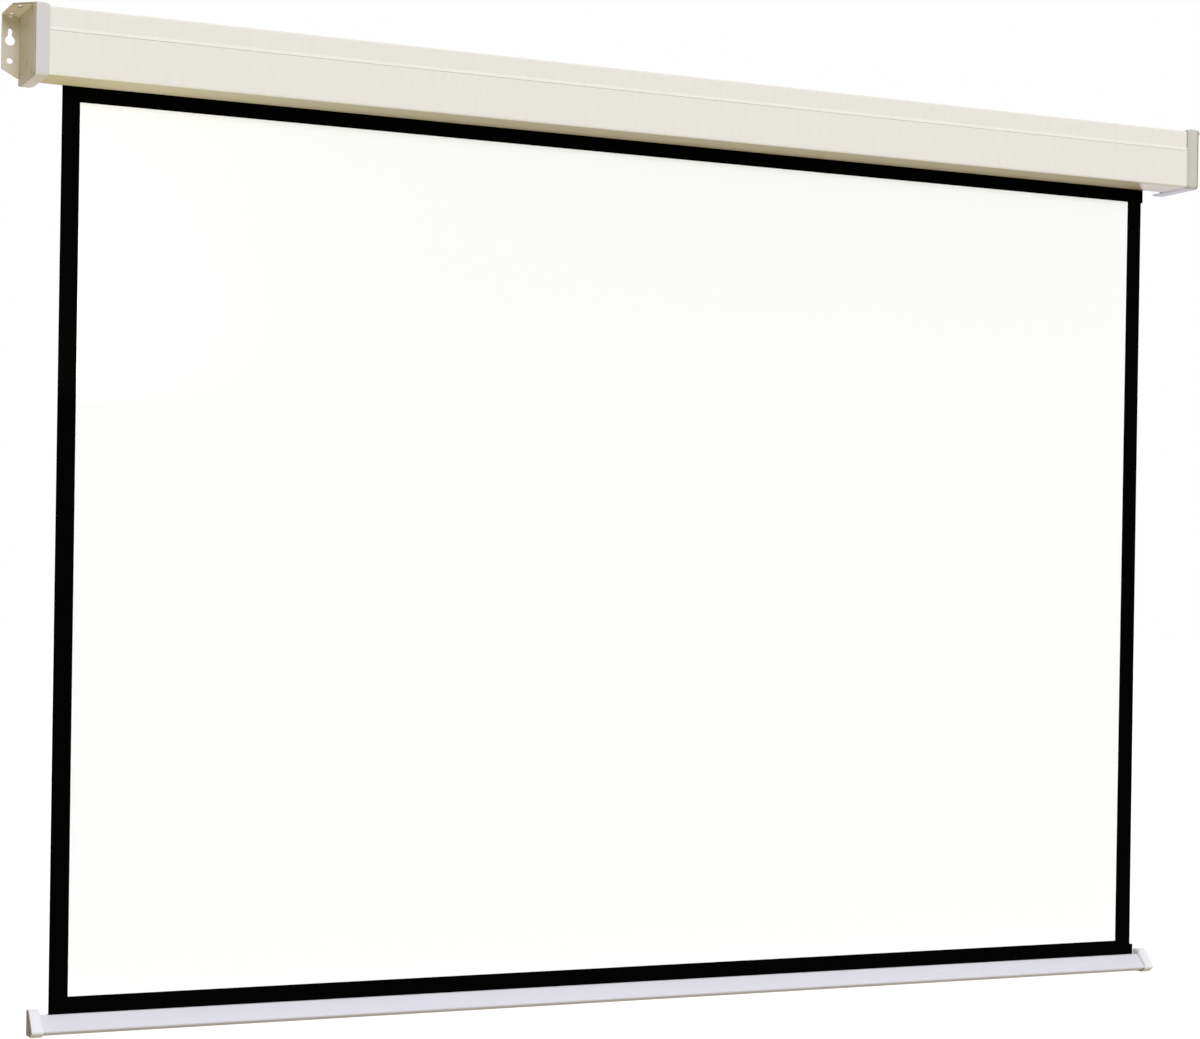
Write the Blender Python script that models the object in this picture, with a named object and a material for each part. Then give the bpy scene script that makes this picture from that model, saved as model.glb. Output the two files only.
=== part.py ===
"""A motorised projector screen for a wall or a ceiling, fully lowered.

The casing's back lies in the wall plane y = 0 and its front faces -Y. X runs along the casing and
Z is up. The origin is on the casing's back, half way along it and 40.5 mm above its floor. A section
of a long piece is a list of points in a plane across its length, with the material on the left of
the way it is walked.
"""

import bmesh
import bpy
import numpy as np
from mathutils import Vector
from mathutils.geometry import tessellate_polygon

MM = 0.001
GAP = 0.3 * MM

# Cloth
SHEET_WIDTH = 1600 * MM
SHEET_DROP = 1127 * MM
SHEET_THICKNESS = 0.45 * MM
SHEET_MIDDLE_X = -4 * MM
SIDE_BORDER = 23 * MM
TOP_BORDER = 18.4 * MM
HEM_HEIGHT = 14 * MM
LEADER_TAB = 3 * MM
HEM_TAB = 5 * MM

# Casing
CASING_TOP = 42.1 * MM
CASING_FLOOR = -40.5 * MM
CASING_DEPTH = 83 * MM
CASING_WALL = 1.5 * MM
COVER_CORNER = 3 * MM
SEAM_Z = 13.2 * MM
SEAM_GAP = 0.4 * MM
BACK_LIFT = 5 * MM
LIP_EDGE_Y = -26.5 * MM
BACK_RETURN = 13 * MM
END_PLATE_FACE = 852.5 * MM
END_PLATE_THICKNESS = 2 * MM
CAP_WEB = 2 * MM
CAP_REACH = 19.2 * MM
CAP_TOP = 45 * MM
CAP_BOTTOM = -42.5 * MM
CAP_FOOT = 5.5 * MM
SHEET_Y = -24 * MM

# Mounting bracket
PLATE_TOP = 44.4 * MM
PLATE_BOTTOM = -42.2 * MM
EAR_REACH = 20.9 * MM
EAR_CORNER_DROP = 10.8 * MM
EAR_BOTTOM = -33 * MM
KEYHOLE_Z = 12.2 * MM
KEYHOLE_RADIUS = 6.1 * MM
KEYHOLE_SLOT = 5.3 * MM
KEYHOLE_TOP = 26.7 * MM
ROUND_HOLE_Z = -12.3 * MM
ROUND_HOLE_RADIUS = 3.75 * MM
CEILING_SLOTS_Y = (-57.3 * MM, -9.7 * MM)
CEILING_SLOT_RADIUS = 3.25 * MM
CEILING_SLOT_RUN = 6.5 * MM
CEILING_OUTER_Y = -62.5 * MM
CEILING_INNER_Y = -79 * MM

# Screw channels along the casing profiles, as (y, z)
CHANNEL_BORE = 2.05 * MM
CHANNEL_OUTER = 3.6 * MM
CHANNEL_SINK = 0.5 * MM
TOP_FRONT_CHANNEL = (-74 * MM, 37.5 * MM)
TOP_BACK_CHANNEL = (-8 * MM, 37.5 * MM)
BACK_CHANNEL = (-8 * MM, -30.9 * MM)
COVER_CHANNEL = (-74 * MM, -35.9 * MM)

# Roller
TUBE_RADIUS = 22 * MM
TUBE_WALL = 1.2 * MM
TUBE_ENDS = (-822 * MM, 812 * MM)
SPARE_TURNS = 1.5
WIND_PITCH = 0.9 * MM
STEPS_A_TURN = 36
WIND_RADIUS = TUBE_RADIUS + GAP + SPARE_TURNS * WIND_PITCH
AXIS_Y = SHEET_Y - WIND_RADIUS - SHEET_THICKNESS / 2
AXIS_Z = 1 * MM
SNUG_RADIUS = TUBE_RADIUS - TUBE_WALL - GAP

# Drive in the right end of the roller
MOTOR_RADIUS = 17.5 * MM
MOTOR_WALL = 0.8 * MM
MOTOR_ENDS = (400 * MM, 811 * MM)
HEAD_RADIUS = 22.5 * MM
SPIGOT_RADIUS = 7.7 * MM
SHAFT_RADIUS = 4.7 * MM
LIMIT_SCREW_RADIUS = 2.5 * MM
LIMIT_SCREW_PLACES = ((-10 * MM, -14 * MM), (10 * MM, -14 * MM))
ACCESS_RADIUS = 3.5 * MM
GROMMET_PLACE = (-15 * MM, -18 * MM)
GROMMET_NECK = 5 * MM
GROMMET_FLANGE = 7 * MM
GROMMET_BORE = 3.3 * MM

# Bearing in the left end of the roller
PIN_RADIUS = 5 * MM

# End brackets that carry the roller
BRACKET_PLATE = 3 * MM
BRACKET_WIDTH = 44 * MM
BRACKET_HEIGHT = 60 * MM
BRACKET_SCREW_Z = 24 * MM

# Screws
END_SCREW_RADIUS = 1.75 * MM
END_SCREW_LENGTH = 18 * MM
BRACKET_SCREW_RADIUS = 2.3 * MM
CLEARANCE = 0.45 * MM
SINK_SPREAD = 1.7 * MM
SINK_LAND = 0.3 * MM
SCREW_DEPTH = 0.2 * MM

# Weight bar, measured from the sheet's visible bottom edge
BAR_LENGTH = 1643 * MM
BAR_TOP = -0.3 * MM
BAR_BOTTOM = -23 * MM
BAR_BACK = 5.2 * MM
BAR_TOP_FRONT = -5.2 * MM
BAR_NOSE = -23.3 * MM
BAR_FOOT = -14.5 * MM
BAR_WALL = 1.4 * MM
BAR_NECK = 0.95 * MM
BAR_CHANNEL_Z = -6.8 * MM
BAR_CHANNEL_RADIUS = 3.7 * MM
BAR_SCREW_PLACE = (-11 * MM, -19 * MM)
BAR_SCREW_BORE = 1.5 * MM
BAR_SCREW_OUTER = 3 * MM
BAR_SCREW_SINK = 0.4 * MM
BAR_HOLLOW_TOP = (-8.6 * MM, -5.3 * MM)
ROD_RADIUS = 2.2 * MM
BAR_CAP_LENGTH = 15 * MM
BAR_CAP_WEB = 3.5 * MM
BAR_CAP_RIM = 1.3 * MM
BAR_CAP_TOP = 7 * MM
BAR_CAP_BOTTOM = -25 * MM
BAR_CAP_CHAMFER = 1.2 * MM
BAR_CAP_RECESS = 1.8 * MM
BAR_SCREW_HEAD = 2.8 * MM

PLATE_INNER = END_PLATE_FACE - END_PLATE_THICKNESS
WEB_OUTER = PLATE_INNER - GAP
WEB_INNER = WEB_OUTER - CAP_WEB
PROFILE_END = WEB_INNER - GAP
CAP_INNER = END_PLATE_FACE - CAP_REACH
CAP_FRONT = -CASING_DEPTH - GAP - 1.5 * MM
BRACKET_OUTER = WEB_INNER - GAP
BRACKET_INNER = BRACKET_OUTER - BRACKET_PLATE
SHEET_BOTTOM_Z = CASING_FLOOR - SHEET_DROP + 0.5 * MM

# The two numbers of a section and the length across it, as X, Y and Z indexes
PLANES = {"X": (1, 2, 0), "Y": (0, 2, 1), "Z": (0, 1, 2)}


def clear_scene():
    for obj in list(bpy.data.objects):
        bpy.data.objects.remove(obj, do_unlink=True)


def material(name, color, roughness, metallic=0.0):
    """A Principled finish from an sRGB hex colour."""
    made = bpy.data.materials.new(name)
    made.use_nodes = True
    shader = made.node_tree.nodes["Principled BSDF"]
    srgb = [int(color[i : i + 2], 16) / 255 for i in (1, 3, 5)]
    linear = [c / 12.92 if c <= 0.04045 else ((c + 0.055) / 1.055) ** 2.4 for c in srgb]
    shader.inputs["Base Color"].default_value = (*linear, 1)
    shader.inputs["Roughness"].default_value = roughness
    shader.inputs["Metallic"].default_value = metallic
    made.diffuse_color = (*linear, 1)
    return made


def empty(name, location):
    made = bpy.data.objects.new(name, None)
    made.location = location
    bpy.context.scene.collection.objects.link(made)
    return made


def finish(bm, name, parent, *materials):
    """The object of a bmesh: faces turned outwards, curved stretches smooth, under its parent."""
    bmesh.ops.remove_doubles(bm, verts=bm.verts, dist=1e-6)
    bmesh.ops.recalc_face_normals(bm, faces=bm.faces)
    mesh = bpy.data.meshes.new(name)
    bm.to_mesh(mesh)
    bm.free()
    for each in materials:
        mesh.materials.append(each)
    mesh.shade_smooth()
    mesh.set_sharp_from_angle(angle=np.radians(35))
    made = bpy.data.objects.new(name, mesh)
    made.parent = parent
    bpy.context.scene.collection.objects.link(made)
    return made


def arc(centre, radius, start, end, steps=6):
    """Points round a centre from one angle to another, in degrees, both ends included."""
    angles = np.radians(np.linspace(start, end, steps + 1))
    return [(centre[0] + radius * np.cos(a), centre[1] + radius * np.sin(a)) for a in angles]


def circle(centre, radius, steps=24):
    return arc(centre, radius, 0, 360, steps)[:-1]


def screw_channel(centre, wall, bore, outer, sink, steps=10):
    """A slotted round channel that stands on the wall lying towards the angle wall, in degrees."""
    foot = np.degrees(np.arccos((outer - sink) / outer))
    slot = 28
    first = arc(centre, outer, wall + foot, wall + 180 - slot, steps // 2)
    inside = arc(centre, bore, wall + 180 - slot, wall - 180 + slot, steps)
    last = arc(centre, outer, wall - 180 + slot, wall - foot, steps // 2)
    return first + inside + last


def casing_channel(centre, wall):
    return screw_channel(centre, wall, CHANNEL_BORE, CHANNEL_OUTER, CHANNEL_SINK)


def offset(section, distance):
    """A closed section grown outwards by the distance, with mitred corners."""
    points = np.array(section)
    along = np.roll(points, -1, axis=0) - points
    along /= np.linalg.norm(along, axis=1)[:, None]
    outward = np.stack([along[:, 1], -along[:, 0]], axis=1)
    before = np.roll(outward, 1, axis=0)
    mitre = outward + before
    mitre /= (1 + (outward * before).sum(axis=1))[:, None]
    return [tuple(p) for p in points + distance * mitre]


def spot(axis, u, v, w):
    """The place of a section's point (u, v) at the length w along the axis."""
    place = [0.0, 0.0, 0.0]
    for index, value in zip(PLANES[axis], (u, v, w)):
        place[index] = value
    return place


def prism(name, parent, axis, sections, start, end, *materials, end_sections=None):
    """A section, with any holes as further sections, carried along an axis from start to end.

    The end sections, where they are given, have the same numbers of points as the first ones.
    """
    bm = bmesh.new()
    near = []
    far = []
    for section, last in zip(sections, end_sections or sections):
        ring = [bm.verts.new(spot(axis, u, v, start)) for u, v in section]
        other = [bm.verts.new(spot(axis, u, v, end)) for u, v in last]
        for i, vert in enumerate(ring):
            bm.faces.new((vert, ring[i - 1], other[i - 1], other[i]))
        near += ring
        far += other
    flat = [[Vector((u, v, 0)) for u, v in section] for section in sections]
    for a, b, c in tessellate_polygon(flat):
        bm.faces.new((near[a], near[b], near[c]))
        bm.faces.new((far[a], far[c], far[b]))
    return finish(bm, name, parent, *materials)


def loft(name, parent, stations, *materials):
    """Sections with equal numbers of points, joined from station to station along X."""
    bm = bmesh.new()
    rings = [[bm.verts.new((x, u, v)) for u, v in section] for x, section in stations]
    for ring, other in zip(rings, rings[1:]):
        for i, vert in enumerate(ring):
            bm.faces.new((vert, ring[i - 1], other[i - 1], other[i]))
    for ring, (_, section) in ((rings[0], stations[0]), (rings[-1], stations[-1])):
        for a, b, c in tessellate_polygon([[Vector((u, v, 0)) for u, v in section]]):
            bm.faces.new((ring[a], ring[b], ring[c]))
    return finish(bm, name, parent, *materials)


def turned(name, parent, profile, *materials, closed=False, steps=STEPS_A_TURN):
    """A profile of (x, radius) points turned about the X axis; a closed one leaves a bore."""
    bm = bmesh.new()
    turn = np.radians(np.arange(steps) * 360 / steps)
    rings = []
    for x, radius in profile:
        if radius == 0:
            rings.append([bm.verts.new((x, 0, 0))])
        else:
            rings.append([bm.verts.new((x, radius * np.cos(a), radius * np.sin(a))) for a in turn])
    pairs = list(zip(rings, rings[1:]))
    if closed:
        pairs.append((rings[-1], rings[0]))
    for one, two in pairs:
        for i in range(steps):
            if len(one) == 1:
                bm.faces.new((one[0], two[i], two[i - 1]))
            elif len(two) == 1:
                bm.faces.new((one[i - 1], one[i], two[0]))
            else:
                bm.faces.new((one[i - 1], one[i], two[i], two[i - 1]))
    return finish(bm, name, parent, *materials)


def boolean(target, other, operation):
    """Cuts, or joins on, another object, which is kept out of the model as a helper."""
    other.hide_render = True
    other.display_type = "WIRE"
    modifier = target.modifiers.new(operation.title(), "BOOLEAN")
    modifier.operation = operation
    modifier.object = other
    modifier.solver = "EXACT"


def at(obj, location):
    obj.location = location
    return obj


def make_top_profile(casing, paint):
    """Back, top and upper front of the casing, down to the seam, with three screw channels."""
    top = CASING_TOP
    inner_top = top - CASING_WALL
    face = -CASING_DEPTH + 1 * MM
    seam = SEAM_Z
    bottom = CASING_FLOOR + BACK_LIFT
    corner = (face + 2.5 * MM, top - 2.5 * MM)
    section = [(0, bottom), (0, top)]
    section += arc(corner, 2.5 * MM, 90, 180)
    section += [(face, seam + 4.8 * MM), (-CASING_DEPTH, seam + 0.7 * MM), (-CASING_DEPTH, seam)]
    section += [(face + 5.5 * MM, seam), (face + 5.5 * MM, seam + CASING_WALL)]
    section += [(face + CASING_WALL, seam + CASING_WALL)]
    section += arc(corner, 1 * MM, 180, 90, 3)
    section += casing_channel(TOP_FRONT_CHANNEL, 90)
    section += casing_channel(TOP_BACK_CHANNEL, 90)
    section += [(-CASING_WALL, inner_top), (-CASING_WALL, bottom + CASING_WALL)]
    section += casing_channel(BACK_CHANNEL, 270)
    section += [(-BACK_RETURN, bottom + CASING_WALL), (-BACK_RETURN, bottom)]
    return prism("top_profile", casing, "X", [section], -PROFILE_END, PROFILE_END, paint)


def make_front_cover(casing, paint):
    """Lower front of the casing, hooked behind the top profile, with the lip under the roller."""
    face = -CASING_DEPTH
    floor = CASING_FLOOR
    inner_floor = floor + CASING_WALL
    top = SEAM_Z - SEAM_GAP
    hook = face + 7 * MM
    corner = (face + COVER_CORNER, floor + COVER_CORNER)
    bead = 1.5 * MM
    section = [(face, top)]
    section += arc(corner, COVER_CORNER, 180, 270)
    section += arc((LIP_EDGE_Y - bead, floor + bead), bead, 270, 450)
    section += [(LIP_EDGE_Y - 3.5 * MM, floor + 2 * bead), (LIP_EDGE_Y - 3.5 * MM, inner_floor)]
    section += casing_channel(COVER_CHANNEL, 270)
    section += arc(corner, COVER_CORNER - CASING_WALL, 270, 180, 3)
    section += [(face + CASING_WALL, top - CASING_WALL), (hook + CASING_WALL, top - CASING_WALL)]
    section += [(hook + CASING_WALL, top + 5 * MM), (hook, top + 5 * MM), (hook, top)]
    return prism("front_cover", casing, "X", [section], -PROFILE_END, PROFILE_END, paint)


def make_end_cap(side, name, casing, plastic, holes):
    """Moulded cap: a sleeve over the top, front and floor of the casing, closed by a web."""
    sleeve = [(0, CAP_TOP)]
    sleeve += arc((CAP_FRONT + 3 * MM, CAP_TOP - 3 * MM), 3 * MM, 90, 180)
    sleeve += arc((CAP_FRONT + CAP_FOOT, CAP_BOTTOM + CAP_FOOT), CAP_FOOT, 180, 270)
    sleeve += [(0, CAP_BOTTOM)]
    web = list(sleeve)
    ceiling = CASING_TOP + GAP
    floor = CASING_FLOOR - GAP
    front = -CASING_DEPTH - GAP
    inner_foot = COVER_CORNER + GAP
    sleeve += [(0, floor)]
    sleeve += arc((front + inner_foot, floor + inner_foot), inner_foot, 270, 180)
    sleeve += arc((front + 1.5 * MM, ceiling - 1.5 * MM), 1.5 * MM, 180, 90, 4)
    sleeve += [(0, ceiling)]
    cap = prism(name, casing, "X", [web] + holes, side * WEB_INNER, side * WEB_OUTER, plastic)
    lap = side * (WEB_OUTER - 0.5 * MM)
    ring = prism(name + "_sleeve", casing, "X", [sleeve], side * CAP_INNER, lap)
    boolean(cap, ring, "UNION")


def keyhole():
    """A round head with a narrower slot rising from it, in the ear's x and z."""
    half = KEYHOLE_SLOT / 2
    rise = np.degrees(np.arccos(half / KEYHOLE_RADIUS))
    head = arc((0, KEYHOLE_Z), KEYHOLE_RADIUS, 180 - rise, 360 + rise, 20)
    return head + arc((0, KEYHOLE_TOP - half), half, 0, 180, 8)


def ceiling_slot(x, y):
    """A slot along Y in the ceiling flange: two half circles and the run between them."""
    reach = CEILING_SLOT_RUN / 2
    back = arc((x, y + reach), CEILING_SLOT_RADIUS, 0, 180, 8)
    return back + arc((x, y - reach), CEILING_SLOT_RADIUS, 180, 360, 8)


def make_mounting_bracket(side, word, casing, steel, holes, sinks):
    """Steel bracket of one end: its plate, and the wall ear and ceiling flange folded out of it.

    The fold lines are left open by the gap, so that each flat is a simple solid of its own. The
    plate's screw holes are countersunk: each widens to the section in sinks at the outer face.
    """
    front = CAP_FRONT + 0.3 * MM
    plate = [(0, PLATE_BOTTOM), (0, PLATE_TOP)]
    plate += arc((front + 3 * MM, PLATE_TOP - 3 * MM), 3 * MM, 90, 180)
    plate += arc((front + CAP_FOOT, PLATE_BOTTOM + CAP_FOOT), CAP_FOOT, 180, 270)
    name = "mounting_bracket_" + word
    inner, outer = side * PLATE_INNER, side * END_PLATE_FACE
    prism(name, casing, "X", [plate] + holes, inner, outer, steel, end_sections=[plate] + sinks)

    root = END_PLATE_FACE + GAP
    tip = END_PLATE_FACE + EAR_REACH
    middle = END_PLATE_FACE + EAR_REACH / 2 + 0.4 * MM
    under = PLATE_TOP - END_PLATE_THICKNESS
    drop = EAR_CORNER_DROP
    ear = [(root, EAR_BOTTOM), (tip, EAR_BOTTOM + drop), (tip, under - GAP), (root, under - GAP)]
    slot = [(middle + x, z) for x, z in keyhole()]
    hole = circle((middle, ROUND_HOLE_Z), ROUND_HOLE_RADIUS)
    outlines = [[(side * x, z) for x, z in each] for each in (ear, slot, hole)]
    prism("wall_ear_" + word, casing, "Y", outlines, -END_PLATE_THICKNESS, 0, steel)

    flange = [(root, 0), (tip, 0), (tip, CEILING_OUTER_Y), (root, CEILING_INNER_Y)]
    bores = [ceiling_slot(middle, y) for y in CEILING_SLOTS_Y]
    outlines = [[(side * x, y) for x, y in each] for each in [flange] + bores]
    prism("ceiling_flange_" + word, casing, "Z", outlines, under, PLATE_TOP, steel)


def screw_mesh(name, radius, length, steel):
    """A flat head that sinks to x = 0 in the plate and a plain shank behind it, as a shared mesh."""
    tip = 1.2 * MM
    neck = -END_PLATE_THICKNESS
    profile = [(-length, 0), (-length, radius - tip / 2), (-length + tip, radius), (neck, radius)]
    profile += [(-SINK_LAND, radius + SINK_SPREAD), (0, radius + SINK_SPREAD), (0, 0)]
    made = turned(name, None, profile, steel, steps=12)
    mesh = made.data
    bpy.data.objects.remove(made)
    return mesh


def place_screws(mesh, names, places, casing, side, x):
    """Copies of a screw that shares one mesh, driven inwards along X at each (y, z)."""
    for name, (y, z) in zip(names, places):
        made = bpy.data.objects.new(name, mesh)
        made.location = (side * x, y, z)
        made.rotation_euler = (0, 0, 0 if side > 0 else np.pi)
        made.parent = casing
        bpy.context.scene.collection.objects.link(made)


def make_roller_bracket(name, casing, side, steel, bore, extra):
    """Steel plate inside the casing's end that carries the motor or the idler pin."""
    w, h = BRACKET_WIDTH / 2, BRACKET_HEIGHT / 2
    r = 5 * MM
    plate = arc((w - r, h - r), r, 0, 90, 4) + arc((r - w, h - r), r, 90, 180, 4)
    plate += arc((r - w, r - h), r, 180, 270, 4) + arc((w - r, r - h), r, 270, 360, 4)
    bolt = BRACKET_SCREW_RADIUS + CLEARANCE
    sections = [plate, circle((0, 0), bore), *extra]
    sections += [circle((0, z), bolt, 12) for z in (BRACKET_SCREW_Z, -BRACKET_SCREW_Z)]
    made = prism(name, casing, "X", sections, side * BRACKET_INNER, side * BRACKET_OUTER, steel)
    return at(made, (0, AXIS_Y, AXIS_Z))


def make_idler(casing, roller, steel, zinc, nylon):
    """Left end: bush in its bracket, steel pin turning in it, plug in the tube, two rivets."""
    bush_bore = PIN_RADIUS + GAP
    bush_neck = bush_bore + 2 * MM
    flange = bush_neck + 3 * MM
    make_roller_bracket("idler_bracket", casing, -1, steel, bush_neck + GAP, [])
    back = -BRACKET_OUTER
    face = -BRACKET_INNER
    bush = [(back, bush_bore), (back, bush_neck), (face + GAP, bush_neck), (face + GAP, flange)]
    bush += [(face + 3 * MM, flange), (face + 3 * MM, bush_bore)]
    at(turned("idler_bush", casing, bush, nylon, closed=True), (0, AXIS_Y, AXIS_Z))

    end = TUBE_ENDS[0]
    collar = end - GAP - 3.5 * MM
    inner = end + 32 * MM
    rim = TUBE_RADIUS - 0.4 * MM
    bevel = 1 * MM
    plug = [(collar, bush_bore), (collar, rim), (end - GAP, rim), (end - GAP, SNUG_RADIUS)]
    plug += [(inner - bevel, SNUG_RADIUS), (inner, SNUG_RADIUS - bevel), (inner, bush_bore)]
    plug = turned("idler_plug", roller, plug, nylon, closed=True)
    pin_end = inner - 2 * MM
    pin = [(back + 1.2 * MM, 0), (back + 1.2 * MM, PIN_RADIUS - 0.8 * MM), (back + 2 * MM, PIN_RADIUS)]
    pin += [(pin_end, PIN_RADIUS), (pin_end, 0)]
    turned("idler_pin", roller, pin, steel)

    rivet_x = end + 11 * MM
    rivet_radius = 1.9 * MM
    tail = PIN_RADIUS + 6 * MM
    head = TUBE_RADIUS + GAP
    for name, way in (("plug_rivet_top", 1), ("plug_rivet_bottom", -1)):
        profile = [(tail, 0), (tail, rivet_radius), (head, rivet_radius), (head, 3.6 * MM)]
        profile += [(head + 0.5 * MM, 3.2 * MM), (head + 1.2 * MM, 1.6 * MM), (head + 1.3 * MM, 0)]
        rivet = turned(name, roller, profile, zinc, steps=16)
        rivet.rotation_euler = (0, -way * np.pi / 2, 0)
        rivet.location = (rivet_x, 0, 0)
    return plug, rivet_x, rivet_radius + GAP


def make_tube(roller, steel):
    """Round steel tube of the roller."""
    start, end = TUBE_ENDS
    bore = TUBE_RADIUS - TUBE_WALL
    profile = [(start, bore), (start, TUBE_RADIUS), (end, TUBE_RADIUS), (end, bore)]
    return turned("roller_tube", roller, profile, steel, closed=True)


def drill_rivet_hole(target, roller, x, radius):
    """A hole straight across the roller at x, along Z."""
    reach = TUBE_RADIUS + 8 * MM
    profile = [(-reach, 0), (-reach, radius), (reach, radius), (reach, 0)]
    bore = turned(target.name + "_drill", roller, profile, steps=16)
    bore.rotation_euler = (0, np.pi / 2, 0)
    bore.location = (x, 0, 0)
    boolean(target, bore, "DIFFERENCE")


def make_wound_cloth(roller, cloth):
    """The spare turns: a spiral that runs from the back of the roller over its top and inwards."""
    turns = np.linspace(0, 360 * SPARE_TURNS, round(STEPS_A_TURN * SPARE_TURNS) + 1)
    inner = WIND_RADIUS - WIND_PITCH * turns / 360
    outer = inner + SHEET_THICKNESS
    angle = np.radians(turns)
    outside = list(zip(outer * np.cos(angle), outer * np.sin(angle)))
    inside = list(zip(inner * np.cos(angle), inner * np.sin(angle)))
    half = SHEET_WIDTH / 2
    wound = prism("wound_cloth", roller, "X", [outside + inside[::-1]], -half, half, cloth)
    least = (inner[:-STEPS_A_TURN] - outer[STEPS_A_TURN:]).min()
    print("least gap between the spare turns, mm:", round(least / MM, 3))
    return at(wound, (SHEET_MIDDLE_X, 0, 0))


def make_motor(casing, roller, steel, zinc, plastic, copper, black):
    """Right end: the tubular motor on its bracket, and what it turns the tube with."""
    spare = [circle(place, ACCESS_RADIUS, 16) for place in LIMIT_SCREW_PLACES]
    make_roller_bracket("motor_bracket", casing, 1, steel, SPIGOT_RADIUS + GAP, spare)
    start, end = MOTOR_ENDS
    inner = MOTOR_RADIUS - MOTOR_WALL
    fit = inner - GAP
    head_end = BRACKET_INNER - GAP
    neck = end + GAP
    head = [(end - 14 * MM, 0), (end - 14 * MM, fit), (neck, fit), (neck, SNUG_RADIUS - 2 * MM)]
    head += [(end + 3 * MM, HEAD_RADIUS), (head_end, HEAD_RADIUS), (head_end, SPIGOT_RADIUS)]
    head += [(BRACKET_OUTER, SPIGOT_RADIUS), (BRACKET_OUTER, 0)]
    head = at(turned("motor_head", casing, head, black), (0, AXIS_Y, AXIS_Z))
    screw_length = 9 * MM
    for place in LIMIT_SCREW_PLACES:
        bore = LIMIT_SCREW_RADIUS + GAP
        floor, mouth = head_end - screw_length - GAP, head_end + 5 * MM
        profile = [(floor, 0), (floor, bore), (mouth, bore), (mouth, 0)]
        drill = turned("limit_screw_bore", casing, profile, steps=16)
        at(drill, (0, AXIS_Y + place[0], AXIS_Z + place[1]))
        boolean(head, drill, "DIFFERENCE")
    shell = [(start, inner), (start, MOTOR_RADIUS), (end, MOTOR_RADIUS), (end, inner)]
    at(turned("motor_tube", casing, shell, zinc, closed=True), (0, AXIS_Y, AXIS_Z))
    insides = (
        ("gearbox", start + 4 * MM, 116 * MM, fit, zinc),
        ("brake", start + 124 * MM, 34 * MM, fit, plastic),
        ("motor_core", start + 162 * MM, 150 * MM, fit, copper),
        ("run_capacitor", start + 318 * MM, 70 * MM, fit - 2.5 * MM, plastic),
    )
    for name, x, length, radius, finish_of in insides:
        bevel = 1 * MM
        solid = [(x, 0), (x, radius - bevel), (x + bevel, radius)]
        solid += [(x + length - bevel, radius), (x + length, radius - bevel), (x + length, 0)]
        at(turned(name, casing, solid, finish_of, steps=24), (0, AXIS_Y, AXIS_Z))

    shaft_x = start - 36 * MM
    shaft = [(shaft_x, 0), (shaft_x, SHAFT_RADIUS - 0.6 * MM), (shaft_x + 0.6 * MM, SHAFT_RADIUS)]
    shaft += [(start + 3.5 * MM, SHAFT_RADIUS), (start + 3.5 * MM, 0)]
    turned("output_shaft", roller, shaft, steel, steps=24)
    bore = SHAFT_RADIUS + GAP
    ring("drive_wheel", roller, start - 30 * MM, 22 * MM, bore, SNUG_RADIUS, plastic)
    ring("wheel_clip", roller, start - 32 * MM, 1.2 * MM, bore, SHAFT_RADIUS + 4 * MM, steel)
    ring("limit_crown", roller, end - 16 * MM, 15 * MM, MOTOR_RADIUS + GAP, SNUG_RADIUS, plastic)
    return head_end, screw_length


def ring(name, parent, x, length, bore, radius, finish_of):
    """A plain wheel or washer on the roller's axis."""
    profile = [(x, bore), (x, radius), (x + length, radius), (x + length, bore)]
    return turned(name, parent, profile, finish_of, closed=True)


def make_limit_screws(head_end, length, brass):
    """Two slotted adjusters in the motor head, each on an empty at its own axis."""
    for name, (y, z) in zip(("limit_screw_up", "limit_screw_down"), LIMIT_SCREW_PLACES):
        pivot = empty(name + "_axis", (head_end, AXIS_Y + y, AXIS_Z + z))
        r = LIMIT_SCREW_RADIUS
        profile = [(-length, 0), (-length, r - 0.5 * MM), (0.5 * MM - length, r), (-0.4 * MM, r)]
        profile += [(0, r - 0.4 * MM), (0, 0)]
        screw = turned(name, pivot, profile, brass, steps=24)
        w, h, deep = 0.45 * MM, r + 1 * MM, 1.4 * MM
        slot = [(-w, -h), (w, -h), (w, h), (-w, h)]
        cutter = prism(name + "_slot", pivot, "X", [slot], -deep, 1 * MM)
        boolean(screw, cutter, "DIFFERENCE")


def make_grommet(casing, rubber):
    """Rubber grommet through the right end plate, where the mains lead would pass."""
    inner, outer = WEB_INNER - GAP, END_PLATE_FACE + GAP
    lip = 1.8 * MM
    neck, flange, bore = GROMMET_NECK, GROMMET_FLANGE, GROMMET_BORE
    profile = [(inner - lip, bore), (inner - lip, flange - 0.6 * MM), (inner - lip + 0.6 * MM, flange)]
    profile += [(inner, flange), (inner, neck), (outer, neck), (outer, flange)]
    profile += [(outer + lip - 0.6 * MM, flange), (outer + lip, flange - 0.6 * MM), (outer + lip, bore)]
    at(turned("cable_grommet", casing, profile, rubber, closed=True, steps=20), (0, *GROMMET_PLACE))


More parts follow.
